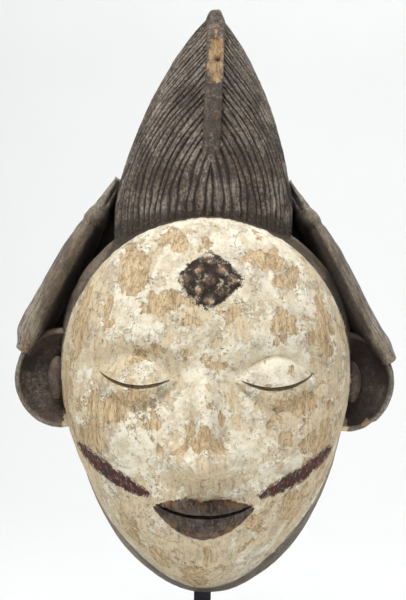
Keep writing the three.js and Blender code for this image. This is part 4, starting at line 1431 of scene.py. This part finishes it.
def mark_paint(tree, coords, torn, grain, under):
    """Dark stain on the scales of the forehead, worn to brown wood and clay on their tops."""
    inside = attribute(tree, "forehead_mark")
    rough = noise_at(tree, coords, 250.0, 4, 0.7)
    uneven = times(tree, maths(tree, "SUBTRACT", rough, 0.5), 1.4)
    top = plus(tree, attribute(tree, "scale_top"), uneven)
    within = between(tree, inside, 0.2, 1.2)
    tones = (colour(58, 48, 42), colour(104, 88, 76), colour(134, 100, 72))
    dark = painted(tree, coords, torn, under, inside, tones, 2.2, 0.3)
    cuts = times(tree, between(tree, top, 0.5, 0.2), within)
    dark = coat(tree, dark, cuts, 0.75, (42, 33, 28))
    rubbed = between(tree, noise_at(tree, coords, 110.0, 5, 0.7), 0.44, 0.54)
    tops = times(tree, times(tree, between(tree, top, 0.5, 0.9), rubbed), within)
    wood = mixed(tree, grain["Tone"], colour(152, 112, 80), colour(206, 168, 132))
    worn = mixed(tree, times(tree, tops, 0.85), dark, wood)
    clay = times(tree, between(tree, rough, 0.56, 0.66), 0.75)
    clay = times(tree, clay, between(tree, inside, -0.5, 0.5))
    return mixed(tree, clay, worn, colour(206, 194, 170))


def white_face(tree, coords, torn, grain):
    """The white with the paint on it, and its relief in millimetres."""
    clay, relief = white_clay(tree, coords, grain)
    clay = lip_paint(tree, coords, torn, clay)
    clay = cheek_paint(tree, coords, torn, clay)
    return mark_paint(tree, coords, torn, grain, clay), relief


def where_white(tree, torn):
    """1 where the white lies, up to its ragged edge, and 0 on the dark wood and inside the slits."""
    level = times(tree, plus(tree, attribute(tree, "inside_face"), 0.6), -0.45)
    beside = layer_gone(tree, torn, level, 1.2, 0.06)[0]
    on_face = maths(tree, "SUBTRACT", 1.0, beside)
    return times(tree, on_face, maths(tree, "SUBTRACT", 1.0, attribute(tree, "cut_wall")))


def along_tress(tree, coords):
    """Long fibres that follow a tress."""
    depth = node(tree, "ShaderNodeSeparateXYZ", {"Vector": coords}).outputs["Y"]
    inputs = {"X": times(tree, attribute(tree, "tress_across"), 6.0),
              "Y": times(tree, attribute(tree, "tress_along"), 5.0),
              "Z": times(tree, depth, 500.0)}
    lock = node(tree, "ShaderNodeCombineXYZ", inputs).outputs[0]
    return noise_at(tree, lock, 2.2, 5, 0.7)


def carved_wood():
    made, tree, shader, coords = new_material("carved_wood")
    grain = placed(tree, wood_grain(), Vector=coords, Scale=420.0)
    lines = placed(tree, combed_lines(), Vector=coords, Strand=attribute(tree, "strand"))
    torn = placed(tree, torn_field(), Vector=coords, Scale=210.0)["Field"]
    tress_fibres = along_tress(tree, coords)
    speckle = noise_at(tree, coords, 620.0, 5, 0.8)

    dark = stained_wood(tree, coords, grain, lines, tress_fibres, speckle)
    dark = keel_wood(tree, coords, grain, torn, dark)
    dark = crusted(tree, coords, dark)
    chips = layer_gone(tree, torn, plus(tree, attribute(tree, "chips"), -0.6), 1.1, 0.08)[0]
    wood = mixed(tree, times(tree, chips, 0.85), dark, bare_wood(tree, grain))
    wood = mixed(tree, attribute(tree, "hollow"), wood, hollow_wood(tree, coords, grain))
    white, relief = white_face(tree, coords, torn, grain)
    on_face = where_white(tree, torn)
    tree.links.new(mixed(tree, on_face, wood, white), shader.inputs["Base Color"])
    tree.links.new(between(tree, on_face, 0.0, 1.0, 0.6, 0.93), shader.inputs["Roughness"])

    cuts = times(tree, lines["Cut"], attribute(tree, "on_strands"))
    tress_relief = times(tree, times(tree, tress_fibres, attribute(tree, "on_tress")), 0.7)
    fibres = plus(tree, times(tree, grain["Tone"], 0.12), times(tree, lines["Fibres"], 0.5))
    wooden = plus(tree, fibres, tress_relief, speckle, times(tree, cuts, -0.5))
    fine = times(tree, noise_at(tree, coords, 800.0, 4, 0.65), 0.3)
    bump(tree, shader, plus(tree, mixed_value(tree, on_face, wooden, relief), fine))
    return made


def black_steel():
    """Bar stock in a faintly mottled blue-black satin paint."""
    made, tree, shader, coords = new_material("black_steel")
    mottle = noise_at(tree, coords, 90.0, 5, 0.6)
    paint = mixed(tree, mottle, colour(26, 27, 36), colour(38, 39, 50))
    tree.links.new(paint, shader.inputs["Base Color"])
    tree.links.new(between(tree, mottle, 0.3, 0.7, 0.42, 0.56), shader.inputs["Roughness"])
    shader.inputs["Metallic"].default_value = 0.3
    bump(tree, shader, times(tree, noise_at(tree, coords, 900.0, 3), 0.06))
    return made


def pale_floor():
    made, tree, shader, coords = new_material("pale_floor")
    paper = mixed(tree, noise_at(tree, coords, 3.0, 3), colour(243, 244, 243), colour(248, 249, 248))
    tree.links.new(paper, shader.inputs["Base Color"])
    shader.inputs["Roughness"].default_value = 0.9
    return made


# The studio

EYE_LEVEL = 0.241  # metres
EYE_DISTANCE = 0.765
PICTURE_WIDTH = 406
PICTURE_HEIGHT = 600
FOCAL_LENGTH = 1350  # of the camera, in pixels of the picture
AXIS_ACROSS = 207  # where the camera's axis meets the picture, in pixels
ROLL = 0.9  # degrees


def camera():
    data = bpy.data.cameras.new("camera")
    data.sensor_width = 36
    data.lens = FOCAL_LENGTH * data.sensor_width / PICTURE_HEIGHT
    data.shift_x = (PICTURE_WIDTH / 2 - AXIS_ACROSS) / PICTURE_HEIGHT
    made = bpy.data.objects.new("camera", data)
    bpy.context.scene.collection.objects.link(made)
    upright = Matrix.Rotation(math.pi / 2, 4, "X") @ Matrix.Rotation(math.radians(ROLL), 4, "Z")
    made.matrix_world = Matrix.Translation((0, -EYE_DISTANCE, EYE_LEVEL)) @ upright
    bpy.context.scene.camera = made


def softbox(name, place, target, size, power_watts):
    data = bpy.data.lights.new(name, "AREA")
    data.shape = "RECTANGLE"
    data.size, data.size_y = size
    data.energy = power_watts
    made = bpy.data.objects.new(name, data)
    bpy.context.scene.collection.objects.link(made)
    made.location = place
    made.rotation_euler = (Vector(target) - Vector(place)).to_track_quat("-Z", "Y").to_euler()
    made.visible_camera = False


def sweep():
    """A pale floor that curves up into a backdrop."""
    start, corner, radius, height, half = -2.2, 1.3, 0.6, 3.0, 2.6
    profile = [(start, 0.0)]
    for i in range(25):
        turn = math.pi / 2 * i / 24
        profile.append((corner - radius + radius * math.sin(turn), radius - radius * math.cos(turn)))
    profile.append((corner, height))
    places = [(x, y, z) for x in (-half, half) for y, z in profile]
    count = len(profile)
    faces = [(i, count + i, count + i + 1, i + 1) for i in range(count - 1)]
    mesh = bpy.data.meshes.new("sweep")
    mesh.from_pydata(places, [], faces)
    mesh.shade_smooth()
    made = new_object("sweep", mesh)
    made.data.materials.append(pale_floor())


def studio():
    camera()
    sweep()
    softbox("key", (-0.25, -0.65, 1.4), (0, 0, 0.26), (0.9, 0.7), 17)
    softbox("fill", (0.7, -1.4, 0.35), (0, 0, 0.2), (1.2, 1.2), 2.6)
    softbox("backdrop", (0.6, 0.45, 1.9), (0.6, 1.3, 0.7), (2.0, 0.5), 17)
    world = bpy.data.worlds.new("soft")
    world.use_nodes = True
    world.node_tree.nodes["Background"].inputs["Color"].default_value = (0.95, 0.97, 1.0, 1)
    world.node_tree.nodes["Background"].inputs["Strength"].default_value = 0.2
    bpy.context.scene.world = world
    bpy.context.scene.view_settings.view_transform = "Standard"


# Putting it together

def dress_mask():
    made = weathered(carved_mask())
    made.data.materials.clear()
    made.data.materials.append(carved_wood())
    made.data.shade_smooth()
    made.data.set_sharp_from_angle(angle=math.radians(50))
    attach(made, "root")
    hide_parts("mask")


def dress_stand():
    steel = black_steel()
    for name in ("stand_bar", "stand_foot"):
        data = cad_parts[name].data
        data.materials.clear()
        data.materials.append(steel)


studio()
dress_mask()
dress_stand()
